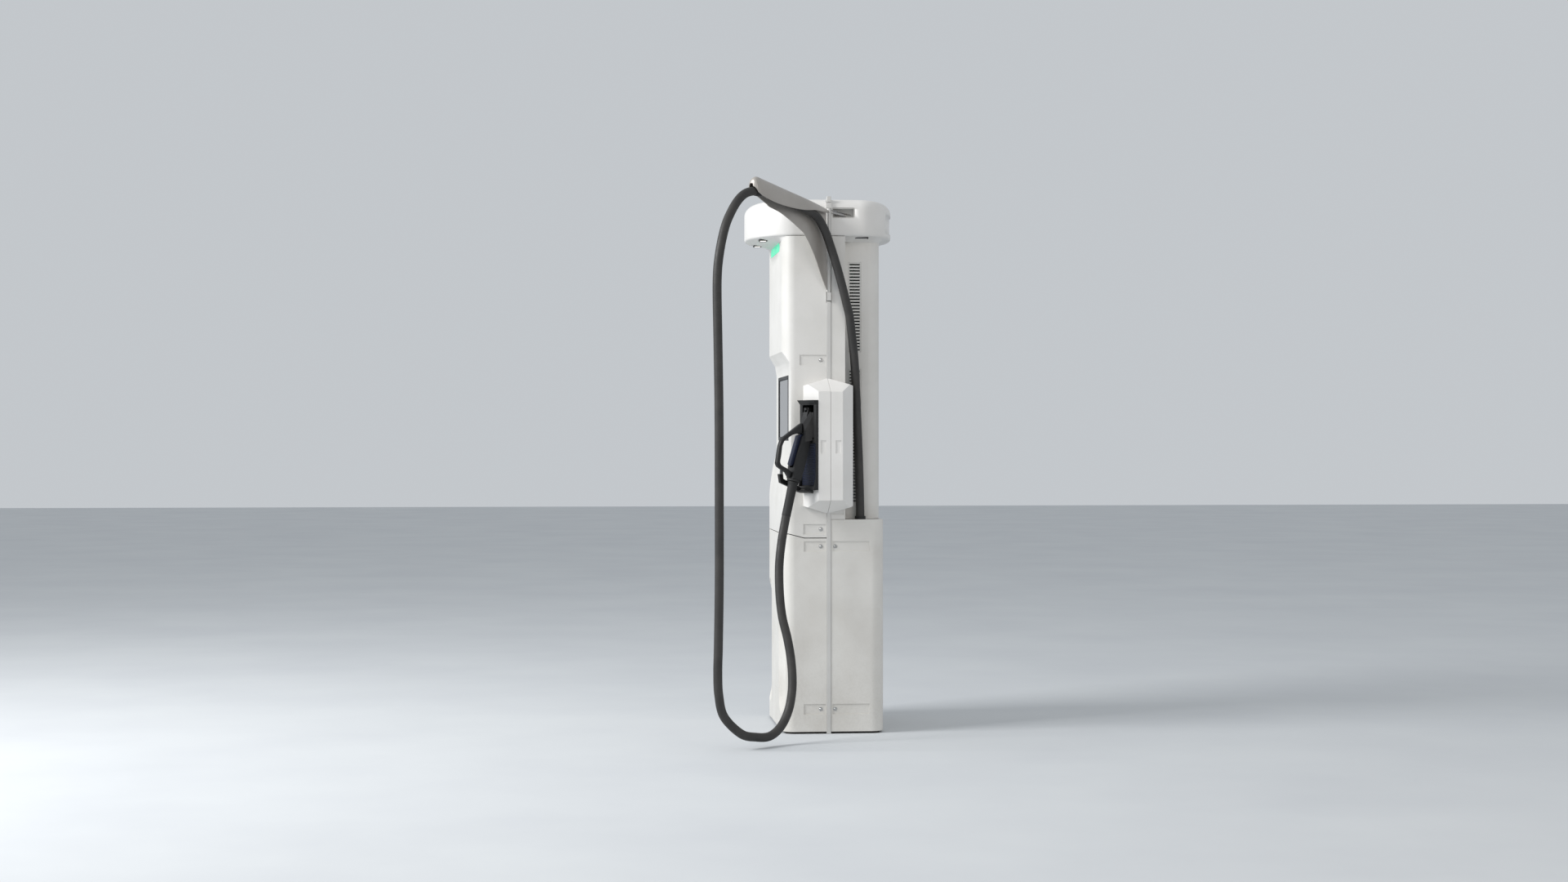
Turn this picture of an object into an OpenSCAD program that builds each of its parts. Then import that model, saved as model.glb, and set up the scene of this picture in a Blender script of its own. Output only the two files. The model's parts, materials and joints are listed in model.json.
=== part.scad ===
// Roadside DC fast-charging post with one swing arm, one cable and one holstered connector.
// Millimetres. The front faces -Y, the cable side is +X, and the floor is z = 0.

/* [Body] */
// Width over the two side walls
body_w = 600; // [580:5:610]
// Height of the head above the floor
body_h = 2000; // [1995:1:2010]
// Distance of the front face ahead of the side seam
front_y = 174; // [172:1:176]
// Distance of the rear face behind the side seam
rear_y = 210; // [208:1:216]
// Wall thickness of the covers
wall = 4; // [3:0.5:5]
// Height of the shelf on the rear base shell
shelf_z = 800; // [795:1:805]
// Height of the front seam at the side walls
seam_z = 730; // [720:1:735]

/* [Head] */
// Underside of the two head covers
head_z = 1860; // [1855:1:1865]
// Reach of the front head ahead of the side seam
head_front = 292; // [285:1:295]
// Reach of the rear head behind the side seam
head_rear = 268; // [262:1:272]

/* [Swing arm] */
// Rest direction of the arm, measured from +X
arm_angle = -45; // [-50:1:-40]
// Radius of the hinge pin
pin_r = 5; // [4:0.5:6]
// Radius of the hinge barrel
barrel_r = 8; // [7.5:0.5:8]

/* [Cable and connector] */
// Outside diameter of the charging cable
cable_d = 32; // [30:1:33]
// Depth of the holster pod off the side wall
pod_depth = 107; // [105:1:110]
// Height of the pod's apex at the wall
pod_top = 1329; // [1325:1:1332]
// Height of the pod's lowest point at the wall
pod_bottom = 822; // [818:1:826]

/* [Base] */
// Anchor hole spacing across the body
anchor_x = 440; // [420:5:450]
// Anchor hole spacing front to back
anchor_y = 240; // [220:5:250]
// Radius of each anchor hole
anchor_r = 9; // [8:0.5:10]

/* [Hidden] */

$fn = 64;
eps = 0.01;
half_w = body_w / 2;
gap = 0.5;                    // assembly gap between neighbouring covers
strip_half = 8;               // half the width of the seam strip
shell_y = strip_half + gap;   // where the covers start, either side of the seam
foot_z = 8;                   // the covers stop this far above the floor
plate_t = 12;                 // base plate
front_r = 48;                 // plan radius of the front corners
rear_r = 50;                  // plan radius of the rear corners
step_y = 61;                  // rear edge of the flat side wall above the shelf
column_x = 226;               // half width of the rear column above the shelf
column_back = rear_y - 6;

// Display opening in the recessed middle of the front
screen_x = 200;
screen_z0 = 1095;
screen_z1 = 1342;
recess_y = front_y - 32;

// Lamps under the head covers: [x, y] of each centre
front_lamps = [[-130, -232], [130, -232]];
rear_lamps = [[-262, 128], [262, 128]];
lamp_size = [44, 24];
band_depth = 5;               // shallow band across the back of the rear head

// Vent banks on the rear column: [lowest z, number of slots]
vent_banks = [[862, 42], [1432, 28]];
vent_pitch = 11.9;
vent_slot = 5.5;
vent_y0 = 82;
vent_y1 = 130;

// Fans behind the radiator: heights of their axes, and blade radius
fan_z = [1160, 1480];
fan_r = 128;

// Cover screws: [y, z, pocket start y, pocket end y]
screw_pockets = [
    [-30, 1396, -110, -10], [-30, 764, -96, -12], [-30, 700, -94, -12], [-30, 92, -94, -12],
    [24, 700, 14, 152], [24, 92, 14, 152], [24, 838, 14, 56]
];
pocket_h = 38;
pocket_depth = 3;
screw_r = 6;

// Swing arm, in its own frame: u runs out along the arm and v towards the cable
hinge = [half_w, 0];
arm_z0 = 1650;
arm_z1 = 1962;
tail_angle = 115;
tail_len = 92;
// Stations along the hood: [u, ridge z, lip z, width]
hood = [
    [16, 1955, 1944, 18], [60, 1963, 1943, 34], [125, 1976, 1945, 46], [200, 1991, 1940, 52],
    [280, 2006, 1942, 56], [360, 2022, 1951, 58], [415, 2033, 1963, 58], [445, 2039.5, 1972, 56.4],
    [455, 2040, 1978, 52.6], [462, 2037.5, 1983.5, 47.4], [467, 2033.5, 1992, 43],
    [471, 2027, 2000, 32], [473.5, 2019, 2005.5, 17.8]
];
hood_mid = 26;                // where the middle of the hood's tip lies
web_stations = 6;             // stations of the hood that the web hangs from
lip_lift = 12;                // how far the far lip rises towards the tip
hood_t = 4;
// Upright hollows in the front corners of the lower door
scoop_r = 95;
scoop_x = 225;
scoop_out = 61;               // how far their axes stand in front of the door
scoop_z0 = 141;
scoop_z1 = 482;
// Lower edge of the web, from the foot of the hinge to the tip
web_lower = [
    [12.2, 1656], [41, 1700], [92, 1790], [142, 1854], [173, 1874], [220, 1898], [280, 1924],
    [340, 1940], [357, 1947]
];

// Route of the charging cable, from the gland on the shelf to the connector's boot
cable_route = [
    [252, 124, 812], [252, 122, 900], [254, 118, 1030], [264, 108, 1240], [280, 98, 1400],
    [303, 82, 1522], [314, 75, 1564], [322, 64, 1604], [330, 46, 1672], [336, 25, 1745],
    [343, 2, 1815], [357, -22, 1876],
    [389, -55, 1922], [431, -97, 1943], [476, -141, 1955], [526, -191, 1966], [591, -256, 1982],
    [632, -297, 1989], [664, -329, 1982], [687, -352, 1968], [711, -374, 1943], [735, -395, 1908],
    [759, -416, 1862], [778, -432, 1805], [791, -444, 1740], [797, -450, 1680], [798, -451, 1600], [795, -448, 1450], [791, -444, 1200],
    [790, -443, 900], [790, -443, 600], [790, -446, 380], [788, -448, 280], [782, -444, 200],
    [757, -424, 122], [728, -362, 58], [688, -306, 40], [643, -253, 37], [602, -210, 64],
    [569, -179, 116], [547, -164, 176], [530, -160, 236], [512, -164, 306], [496, -175, 376],
    [480, -192, 452], [464, -200, 536], [447, -200, 636], [430, -189, 728], [418, -171, 822]
];
cable_ring = 72;              // distance between rings along the cable
cable_sides = 10;

// Connector, in its own frame: q runs out of the holster, s across it, z up
holster = [363, -77];
holster_angle = -58.66;
pod_mid = -5;                 // y of the pod's middle seam
pod_half = 92;                // half the pod's length front to back
pod_slope = 52;               // fall of the pod's roof from the wall to its outer face
trigger_pivot = [37, 1110];
latch_pivot = [13, 1212];

// ---------- helpers ----------

// A prism: an outline drawn in (y, z), run across x
module across_x(x0, x1) {
    translate([x0, 0, 0]) rotate([90, 0, 90]) linear_extrude(x1 - x0) children();
}

// A prism: an outline drawn in (x, z), run from y0 to y1
module across_y(y0, y1) {
    translate([0, y1, 0]) rotate([90, 0, 0]) linear_extrude(y1 - y0) children();
}

module block(x0, x1, y0, y1, z0, z1) {
    translate([x0, y0, z0]) cube([x1 - x0, y1 - y0, z1 - z0]);
}

// Rectangle with round corners at chosen radius
module round_rect(w, h, r) {
    square([w - 2 * r, h], center = true);
    square([w, h - 2 * r], center = true);
    for (sx = [-1, 1], sy = [-1, 1]) translate([sx * (w / 2 - r), sy * (h / 2 - r)]) circle(r);
}

module both_sides() {
    children();
    mirror([1, 0, 0]) children();
}

// Plan of a cover that starts at the seam and ends in two round corners on the side dir
module cover_plan(hw, reach, r, dir, from = shell_y) {
    for (s = [-1, 1]) translate([s * (hw - r), dir * (reach - r)]) circle(r);
    scale([1, dir]) {
        translate([-hw, from]) square([2 * hw, reach - r - from]);
        translate([r - hw, from]) square([2 * (hw - r), reach - from]);
    }
}

// Plan of a head cover: straight sides that run into half an ellipse
function head_points(hw, straight, reach, dir, n = 24) = concat(
    [[hw, dir * shell_y]],
    [for (i = [0 : n]) [hw * cos(180 * i / n), dir * (straight + (reach - straight) * sin(180 * i / n))]],
    [[-hw, dir * shell_y]]
);

// Two triangles between the corners a, b, c, d of a patch
function patch(a, b, c, d) = [[a, b, c], [a, c, d]];

// Solid through a list of rings that all have the same even number of points. Each end is closed
// by patches between opposite points, so that a ring may be an open channel's outline.
module loft(rings) {
    n = len(rings[0]);
    last = (len(rings) - 1) * n;
    polyhedron(
        points = [for (ring = rings) each ring],
        faces = concat(
            [for (i = [0 : n / 2 - 2]) each patch(i, i + 1, n - 2 - i, n - 1 - i)],
            [for (k = [0 : len(rings) - 2], i = [0 : n - 1])
                each patch(k * n + i, (k + 1) * n + i, (k + 1) * n + (i + 1) % n, k * n + (i + 1) % n)],
            [for (i = [0 : n / 2 - 2]) each patch(last + n - 1 - i, last + n - 2 - i, last + i + 1, last + i)]
        ),
        convexity = 10
    );
}

function unit(v) = v / norm(v);

// Catmull-Rom curve through the points of a route
function spline_at(p, i, t) =
    let (a = p[max(i - 1, 0)], b = p[i], c = p[i + 1], d = p[min(i + 2, len(p) - 1)])
    0.5 * (2 * b + (c - a) * t + (2 * a - 5 * b + 4 * c - d) * t * t
        + (3 * b - a - 3 * c + d) * t * t * t);
function spline(p, step) = concat(
    [for (i = [0 : len(p) - 2]) let (n = max(1, round(norm(p[i + 1] - p[i]) / step)))
        each [for (k = [0 : n - 1]) spline_at(p, i, k / n)]],
    [p[len(p) - 1]]
);
function tangent(p, i) = unit(p[min(i + 1, len(p) - 1)] - p[max(i - 1, 0)]);
function frames(p, i, side) =
    let (t = tangent(p, i), s = unit(side - (side * t) * t))
    i == len(p) - 1 ? [s] : concat([s], frames(p, i + 1, s));

// Round tube along a smooth route
module tube_along(route, d, step, sides) {
    p = spline(route, step);
    s = frames(p, 0, [1, 0, 0]);
    loft([for (i = [0 : len(p) - 1]) let (b = cross(tangent(p, i), s[i]))
        [for (k = [0 : sides - 1]) let (a = -360 * k / sides)
            p[i] + d / 2 * (cos(a) * s[i] + sin(a) * b)]]);
}

module arm_frame() {
    translate([hinge.x, hinge.y, 0]) rotate([0, 0, arm_angle]) children();
}

module holster_frame() {
    translate([holster.x, holster.y, 0]) rotate([0, 0, holster_angle]) children();
}

// An outline drawn in (q, z) of the holster frame, run across s
module holster_slab(s0, s1) {
    holster_frame() translate([0, s1, 0]) rotate([90, 0, 0]) linear_extrude(s1 - s0) children();
}

// ---------- frame ----------

module base_plate() {
    color("dimgray") difference() {
        block(-half_w + 20, half_w - 20, -front_y + 14, rear_y - 18, 0, plate_t);
        for (sx = [-1, 1], sy = [-1, 1]) translate([sx * anchor_x / 2, sy * anchor_y / 2, -1])
            cylinder(r = anchor_r, h = plate_t + 2);
        translate([0, 20, -1]) cylinder(r = 70, h = plate_t + 2);
    }
}

module frame_posts() {
    color("gray") for (sx = [-1, 1]) {
        for (p = [[250, -116], [190, 170]]) difference() {
            block(sx * p.x - 15, sx * p.x + 15, p.y - 15, p.y + 15, plate_t, body_h - 24);
            block(sx * p.x - 12, sx * p.x + 12, p.y - 12, p.y + 12, plate_t - 1, body_h - 23);
        }
    }
}

module top_plate() {
    color("gray") difference() {
        union() {
            block(-270, 270, -134, 150, body_h - 24, body_h - 20);
            block(-210, 210, 149, 190, body_h - 24, body_h - 20);
            both_sides() block(269, half_w - 16, -shell_y, shell_y, body_h - 24, body_h - 20);
        }
        translate([0, 20, body_h - 30]) cylinder(r = 60, h = 20);
    }
}

module equipment_plate() {
    color("silver") {
        block(-230, 230, -2, 2, 90, 1750);
        block(-170, 170, 2, 190, 134, 138);
        both_sides() {
            block(226, 230, -130.5, -2, 90, 120);
            block(226, 230, -130.5, -2, 1700, 1730);
        }
    }
}

module seam_strip() {
    block(half_w - 12, half_w + 2, -strip_half, strip_half, 0.5, arm_z0 - 34);
    block(half_w - 12, half_w + 2, -strip_half, strip_half, arm_z1 + 24, body_h + 8);
}

module right_seam_strip() {
    color("darkgray") seam_strip();
}

module left_seam_strip() {
    color("darkgray") mirror([1, 0, 0])
        block(half_w - 12, half_w + 2, -strip_half, strip_half, 0.5, body_h + 8);
}

// Closes the slot on top, between the two head covers
module top_seam_strip() {
    color("darkgray") block(-half_w + 12.5, half_w - 12.5, -strip_half, strip_half, body_h - 6, body_h + 1);
}

// ---------- covers ----------

// Screw pockets on both side walls, cut by the covers and filled by nothing
module pockets() {
    for (p = screw_pockets) both_sides()
        block(half_w - pocket_depth, half_w + 1, p[2], p[3], p[1] - pocket_h / 2, p[1] + pocket_h / 2);
}

module screw_holes() {
    for (p = screw_pockets) both_sides() translate([half_w - 9, p[0], p[1]])
        rotate([0, 90, 0]) cylinder(r = 3.2, h = 12);
}

// A local back wall behind each pocket, so that the pocket floor is not thin
module pocket_backs(dir) {
    for (p = screw_pockets) if (sign(p[0]) == dir) both_sides()
        block(half_w - pocket_depth - wall, half_w - wall + eps,
            max(p[2] - wall, dir > 0 ? shell_y : p[2] - wall), min(p[3] + wall, dir < 0 ? -shell_y : p[3] + wall),
            p[1] - pocket_h / 2 - wall, p[1] + pocket_h / 2 + wall);
}

function front_profile(t) = [
    [-front_y + t, foot_z - (t > 0 ? 1 : 0)], [-front_y + t, 880], [-front_y + 5 + t, 925],
    [-front_y + 16 + t, 990], [-recess_y + t, 1048], [-recess_y + t, 1352],
    [-recess_y - 6 + t, 1388], [-front_y + t, 1428], [-front_y + t, head_z + 60],
    [-shell_y, head_z + 60], [-shell_y, foot_z - (t > 0 ? 1 : 0)]
];

// Two upright hollows in the front corners of the lower door
module door_scoops(r) {
    both_sides() translate([scoop_x, -front_y - scoop_out, 0]) {
        translate([0, 0, scoop_z0]) cylinder(r = r, h = scoop_z1 - scoop_z0);
        translate([0, 0, scoop_z0]) sphere(r);
        translate([0, 0, scoop_z1]) sphere(r);
    }
}

module front_solid(t, z0, z1, scoop) {
    difference() {
        intersection() {
            translate([0, 0, z0]) linear_extrude(z1 - z0)
                cover_plan(half_w - t, front_y - t, front_r - t, -1, shell_y - (t > 0 ? 1 : 0));
            across_x(-half_w, half_w) polygon(front_profile(t));
        }
        door_scoops(scoop);
    }
}

// Outline in (y, z) below the seam that steps up round the front corners
module below_front_seam(offset_z) {
    polygon([[0, -1], [0, seam_z + offset_z], [-92, seam_z + offset_z], [-150, seam_z + 15 + offset_z],
        [-front_y - 1, seam_z + 15 + offset_z], [-front_y - 1, -1]]);
}

module lower_front_door() {
    color("whitesmoke") difference() {
        union() {
            intersection() {
                difference() {
                    front_solid(0, foot_z, 800, scoop_r);
                    front_solid(wall, foot_z - 1, 801, scoop_r + wall);
                }
                across_x(-half_w, half_w) below_front_seam(0);
            }
            intersection() {
                pocket_backs(-1);
                block(-half_w, half_w, -front_y, 0, 0, seam_z);
            }
        }
        pockets();
        screw_holes();
    }
}

module light_strip_outline(inset) {
    polygon([[-168 + inset, 1812 + inset], [168 - inset, 1812 + inset],
        [178 - inset, 1830], [150 - inset, 1850 - inset], [-150 + inset, 1850 - inset], [-178 + inset, 1830]]);
}

module upper_front_shell() {
    color("white") difference() {
        union() {
            intersection() {
                difference() {
                    front_solid(0, seam_z, head_z - gap, scoop_r);
                    front_solid(wall, seam_z - 1, head_z + 1, scoop_r + wall);
                }
                difference() {
                    block(-half_w, half_w, -front_y, 0, seam_z, head_z);
                    across_x(-half_w - 1, half_w + 1) below_front_seam(3);
                }
            }
            intersection() {
                pocket_backs(-1);
                block(-half_w, half_w, -front_y, 0, seam_z + 3, head_z);
            }
        }
        pockets();
        screw_holes();
        block(-screen_x, screen_x, -front_y, -front_y + 60, screen_z0, screen_z1);
        across_y(-front_y - 1, -front_y + wall + 1) light_strip_outline(0);
        translate([150, -front_y + 20, 960]) rotate([90, 0, 0]) cylinder(r = 28, h = 60);
        hinge_clearance();
    }
}

// Room for the hinge barrel where it sits in the seam
module hinge_clearance() {
    translate([hinge.x, 0, arm_z0 - 40]) cylinder(r = barrel_r + 2, h = arm_z1 - arm_z0 + 80);
}

module rear_base_shell() {
    color("whitesmoke") difference() {
        union() {
            difference() {
                translate([0, 0, foot_z]) linear_extrude(shelf_z - foot_z)
                    cover_plan(half_w, rear_y, rear_r, 1);
                translate([0, 0, foot_z - 1]) linear_extrude(shelf_z - foot_z - wall + 1)
                    cover_plan(half_w - wall, rear_y - wall, rear_r - wall, 1, shell_y - 1);
                // the column's foot passes through the shelf
                translate([0, 0, shelf_z - 10]) linear_extrude(20)
                    cover_plan(column_x - wall - 6, column_back - wall - 6, rear_r - 20, 1, shell_y - 1);
            }
            intersection() {
                pocket_backs(1);
                block(-half_w, half_w, 0, rear_y, 0, shelf_z);
            }
        }
        pockets();
        screw_holes();
        translate([cable_route[0].x, cable_route[0].y, shelf_z - 10]) cylinder(r = cable_d / 2 + 5, h = 20);
    }
}

module upper_rear_plan(t, from) {
    cover_plan(column_x - t, column_back - t, rear_r - t, 1, from);
    for (s = [-1, 1]) translate([s * (half_w - t) - (s > 0 ? half_w - 100 : 0), from])
        square([half_w - 100, step_y - t - from]);
}

module upper_rear_shell() {
    color("white") difference() {
        union() {
            difference() {
                translate([0, 0, shelf_z + 1]) linear_extrude(head_z - shelf_z - 1 - gap)
                    upper_rear_plan(0, shell_y);
                translate([0, 0, shelf_z]) linear_extrude(head_z - shelf_z + 1)
                    upper_rear_plan(wall, shell_y - 1);
            }
            intersection() {
                pocket_backs(1);
                block(-half_w, half_w, 0, rear_y, shelf_z + 1, head_z);
            }
        }
        pockets();
        screw_holes();
        for (b = vent_banks) both_sides()
            block(column_x - wall - 1, column_x + 1, vent_y0, vent_y1, b[0] - 3, b[0] + vent_pitch * b[1] + 3);
        hinge_clearance();
    }
}

module vent_grilles() {
    color("lightgray") both_sides() for (b = vent_banks) difference() {
        block(column_x - 3.5, column_x - 0.5, vent_y0 + gap, vent_y1 - gap, b[0] - 2.5, b[0] + vent_pitch * b[1] + 2.5);
        for (i = [0 : b[1] - 1])
            block(column_x - 5, column_x + 1, vent_y0 + 4, vent_y1 - 4,
                b[0] + vent_pitch * (i + 0.5) - vent_slot / 2, b[0] + vent_pitch * (i + 0.5) + vent_slot / 2);
    }
}

module panel_screws() {
    color("silver") both_sides() for (p = screw_pockets) translate([half_w - 14, p[0], p[1]])
        rotate([0, 90, 0]) {
            cylinder(r = 2.9, h = 12);
            translate([0, 0, 14 - pocket_depth + 0.05]) difference() {
                cylinder(r = screw_r, h = 2.2);
                translate([0, 0, 1]) cylinder(r = 2.2, h = 2, $fn = 6);
            }
        }
}

module head_shell(straight, reach, dir) {
    difference() {
        translate([0, 0, head_z]) linear_extrude(body_h - head_z)
            polygon(head_points(half_w, straight, reach, dir));
        translate([0, 0, head_z + wall]) linear_extrude(body_h - head_z - 2 * wall)
            polygon(head_points(half_w - wall, straight, reach - wall, dir));
        // the open side towards the seam
        block(-half_w + wall, half_w - wall, dir > 0 ? 0 : -shell_y - 1, dir > 0 ? shell_y + 1 : 0,
            head_z + wall, body_h - wall);
    }
}

// Solid head outline, inset all round, between two heights
module head_prism(straight, reach, dir, inset, z0, z1) {
    translate([0, 0, z0]) linear_extrude(z1 - z0)
        polygon(head_points(half_w - inset, straight, reach - inset, dir));
}

module front_head_cover() {
    color("white") difference() {
        head_shell(125, head_front, -1);
        // the front shell's plan passes up through the underside
        translate([0, 0, head_z - 1]) linear_extrude(wall + 2)
            cover_plan(half_w - wall, front_y - wall, front_r - wall, -1, shell_y - 1);
        for (p = front_lamps) translate([p.x, p.y, head_z - 1]) linear_extrude(wall + 2)
            round_rect(lamp_size.x, lamp_size.y, 8);
        hinge_clearance();
    }
}

module rear_head_cover() {
    color("white") difference() {
        union() {
            head_shell(115, head_rear, 1);
            // thicker wall behind the shallow band across the back
            difference() {
                head_prism(115, head_rear, 1, wall - eps, 1872, 1958);
                head_prism(115, head_rear, 1, wall + band_depth, 1871, 1959);
                block(-half_w, half_w, -1, 170, 1870, 1960);
            }
        }
        translate([0, 0, head_z - 1]) linear_extrude(wall + 2)
            upper_rear_plan(wall, shell_y - 1);
        for (p = rear_lamps) translate([p.x, p.y, head_z - 1]) linear_extrude(wall + 2)
            round_rect(lamp_size.y, lamp_size.x, 8);
        // slot for the arm's tail
        block(half_w - wall - 1, half_w + 1, shell_y - 1, 97, 1926, 1966);
        difference() {
            block(-200, 200, 180, head_rear + 9, 1882, 1948);
            head_prism(115, head_rear, 1, band_depth, 1881, 1949);
        }
        hinge_clearance();
    }
}

module head_lamps() {
    color("ivory") {
        for (p = front_lamps) translate([p.x, p.y, head_z + 0.5]) linear_extrude(6)
            round_rect(lamp_size.x - 1, lamp_size.y - 1, 7.5);
        for (p = rear_lamps) translate([p.x, p.y, head_z + 0.5]) linear_extrude(6)
            round_rect(lamp_size.y - 1, lamp_size.x - 1, 7.5);
    }
}

// ---------- front panel equipment ----------

module light_strip() {
    color("mediumspringgreen") across_y(-front_y - 1, -front_y + 7) light_strip_outline(gap);
}

module display_bezel() {
    color("black") difference() {
        block(-screen_x + gap, screen_x - gap, -recess_y - 2, -recess_y + 12, screen_z0 + gap, screen_z1 - gap);
        block(-screen_x + 14, screen_x - 14, -recess_y - 3, -recess_y + 6, screen_z0 + 14, screen_z1 - 14);
        block(-screen_x + 24, screen_x - 24, -recess_y - 3, -recess_y + 13, screen_z0 + 24, screen_z1 - 24);
    }
}

module display_glass() {
    color("darkslategray") block(-screen_x + 14.5, screen_x - 14.5, -recess_y + 1, -recess_y + 5.5,
        screen_z0 + 14.5, screen_z1 - 14.5);
}

module display_module() {
    color("dimgray") block(-screen_x + 10, screen_x - 10, -recess_y + 12.5, -recess_y + 40,
        screen_z0 + 10, screen_z1 - 10);
}

module card_reader() {
    color("dimgray") translate([150, 0, 960]) rotate([90, 0, 0]) {
        translate([0, 0, front_y - 24]) cylinder(r = 27.5, h = 19);
        translate([0, 0, front_y - 38]) cylinder(r = 34, h = 14);
    }
}

// ---------- inside ----------

module control_box() {
    color("lightsteelblue") {
        block(-150, 150, -92, -2.5, 1400, 1660);
        block(-160, 160, -14, -2.5, 1380, 1680);
    }
}

module power_supply() {
    color("silver") difference() {
        block(-200, -60, -90, -2.5, 860, 1080);
        for (i = [0 : 7]) block(-190, -70, -95, -80, 880 + 24 * i, 892 + 24 * i);
    }
}

module dc_contactors() {
    color("dimgray") for (x = [-120, -20]) {
        block(x, x + 70, -90, -2.5, 560, 680);
        translate([x + 20, -46, 680]) cylinder(r = 8, h = 16);
        translate([x + 50, -46, 680]) cylinder(r = 8, h = 16);
    }
}

module dc_busbars() {
    color("chocolate") for (x = [90, 150]) {
        block(x, x + 30, -40, -35, 200, 700);
        for (z = [260, 440, 620]) block(x + 5, x + 25, -34.5, -2.5, z, z + 20);
    }
}

module energy_meter() {
    color("whitesmoke") difference() {
        block(-200, -90, -80, -2.5, 320, 480);
        block(-180, -110, -82, -76, 410, 450);
    }
}

module isolator_switch() {
    color("gray") difference() {
        union() {
            block(-60, 50, -80, -2.5, 330, 470);
            translate([-5, -80, 400]) rotate([90, 0, 0]) cylinder(r = 22, h = 4);
        }
        translate([-5, -60, 400]) rotate([90, 0, 0]) cylinder(r = 5.05, h = 40);
    }
}

module isolator_knob() {
    color("red") {
        translate([-5, -62, 400]) rotate([90, 0, 0]) cylinder(r = 5, h = 26);
        translate([-5, -84.5, 400]) rotate([90, 0, 0]) cylinder(r = 20, h = 10);
        block(-11, 1, -108, -94, 380, 420);
    }
}

module coolant_tank() {
    color("ghostwhite") {
        block(-150, -10, 60, 170, 138.5, 420);
        translate([-80, 115, 420]) cylinder(r = 22, h = 14);
    }
}

module coolant_pump() {
    color("dimgray") {
        translate([80, 115, 170]) cylinder(r = 45, h = 90);
        translate([80, 115, 260]) cylinder(r = 30, h = 60);
        block(30, 130, 65, 165, 138.5, 170);
    }
}

module radiator() {
    color("silver") {
        for (i = [0 : 16]) block(-160, 160, 150, 176, 1010 + 38 * i, 1022 + 38 * i);
        for (x = [-170, 150]) block(x, x + 20, 146, 180, 1000, 1640);
    }
}

module fan_frame() {
    color("dimgray") difference() {
        union() {
            block(-160, 160, 90, 140, 1010, 1630);
            for (z = fan_z) translate([0, 94, z]) rotate([90, 0, 0]) cylinder(r = 22, h = 4);
            both_sides() block(130, 150, 2.5, 90, 1300, 1320);
        }
        for (z = fan_z) difference() {
            translate([0, 141, z]) rotate([90, 0, 0]) cylinder(r = fan_r + 4, h = 60);
            translate([0, 94, z]) rotate([90, 0, 0]) cylinder(r = 24, h = 10);
            block(-160, 160, 88, 94, z - 8, z + 8);
        }
    }
    color("silver") for (z = fan_z) translate([0, 132, z]) rotate([90, 0, 0]) cylinder(r = 4, h = 39);
}

module fan(z) {
    color("black") translate([0, 0, z]) difference() {
        union() {
            translate([0, 128, 0]) rotate([90, 0, 0]) cylinder(r = 38, h = 30);
            for (a = [0 : 51.43 : 359]) rotate([0, a, 0]) translate([36, 0, 0]) rotate([30, 0, 0])
                translate([0, 113 * cos(30) - 12, -113 * sin(30) - 1.5]) cube([fan_r - 38, 24, 3]);
        }
        translate([0, 140, 0]) rotate([90, 0, 0]) cylinder(r = 4.05, h = 50);
    }
}

module upper_fan() {
    fan(fan_z[1]);
}

module lower_fan() {
    fan(fan_z[0]);
}

module cable_gland() {
    color("dimgray") translate([cable_route[0].x, cable_route[0].y, 0]) difference() {
        union() {
            translate([0, 0, shelf_z - 22]) cylinder(r = cable_d / 2 + 9, h = 18);
            translate([0, 0, shelf_z - 22]) cylinder(r = cable_d / 2 + 4.5, h = 34);
        }
        translate([0, 0, shelf_z - 23]) cylinder(r = cable_d / 2 + 0.5, h = 28);
    }
}

// ---------- holster pod ----------

// Plan of the pod in (x, y), inset by t
module pod_plan(t) {
    x0 = half_w - (t > 0 ? 1 : 0);
    x1 = half_w + pod_depth - t;
    y0 = pod_mid - pod_half + t;
    // the holster face passes through the holster point, square to its axis
    out = [cos(holster_angle), sin(holster_angle)];
    across = [-out.y, out.x];
    p = holster - t * out;
    side = p + across * (y0 - p.y) / across.y;
    nose = p + across * (x1 - p.x) / across.x;
    polygon([[x0, y0], side, nose, [x1, 2 * pod_mid - nose.y], [side.x, 2 * pod_mid - side.y],
        [x0, 2 * pod_mid - y0]]);
}

module pod_solid(t) {
    x1 = half_w + pod_depth;
    intersection() {
        translate([0, 0, pod_bottom]) linear_extrude(pod_top - pod_bottom) pod_plan(t);
        across_y(-120, 120) polygon([[half_w - 2, pod_bottom + t], [half_w - 2, pod_top - t],
            [x1, pod_top - pod_slope - t], [x1, pod_bottom + pod_slope + t]]);
        across_x(half_w - 2, x1 + 2) for (s = [-1, 1]) polygon([[pod_mid, pod_bottom + t],
            [pod_mid + s * 95, pod_bottom + 30 + t], [pod_mid + s * 95, pod_top - 30 - t],
            [pod_mid, pod_top - t]]);
    }
}

module pod_shell() {
    difference() {
        pod_solid(0);
        pod_solid(wall);
        // clear of the seam strip
        block(half_w - 1, half_w + 2.3, -shell_y, shell_y, pod_bottom - 1, pod_top + 1);
        // opening behind the insert
        holster_slab(-44, 44) polygon([[-30, 922], [10, 922], [10, 1236], [-30, 1236]]);
        // finger pockets on the outer face
        for (s = [-1, 1]) block(half_w + pod_depth - 3, half_w + pod_depth + 1,
            pod_mid + s * 28 - 10, pod_mid + s * 28 + 10, 1048, 1096);
    }
}

module pod_front_half() {
    color("white") intersection() {
        pod_shell();
        block(half_w + gap / 2, 500, -120, pod_mid - gap, 700, 1400);
    }
}

module pod_rear_half() {
    color("white") intersection() {
        pod_shell();
        block(half_w + gap / 2, 500, pod_mid + gap, 120, 700, 1400);
    }
}

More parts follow.
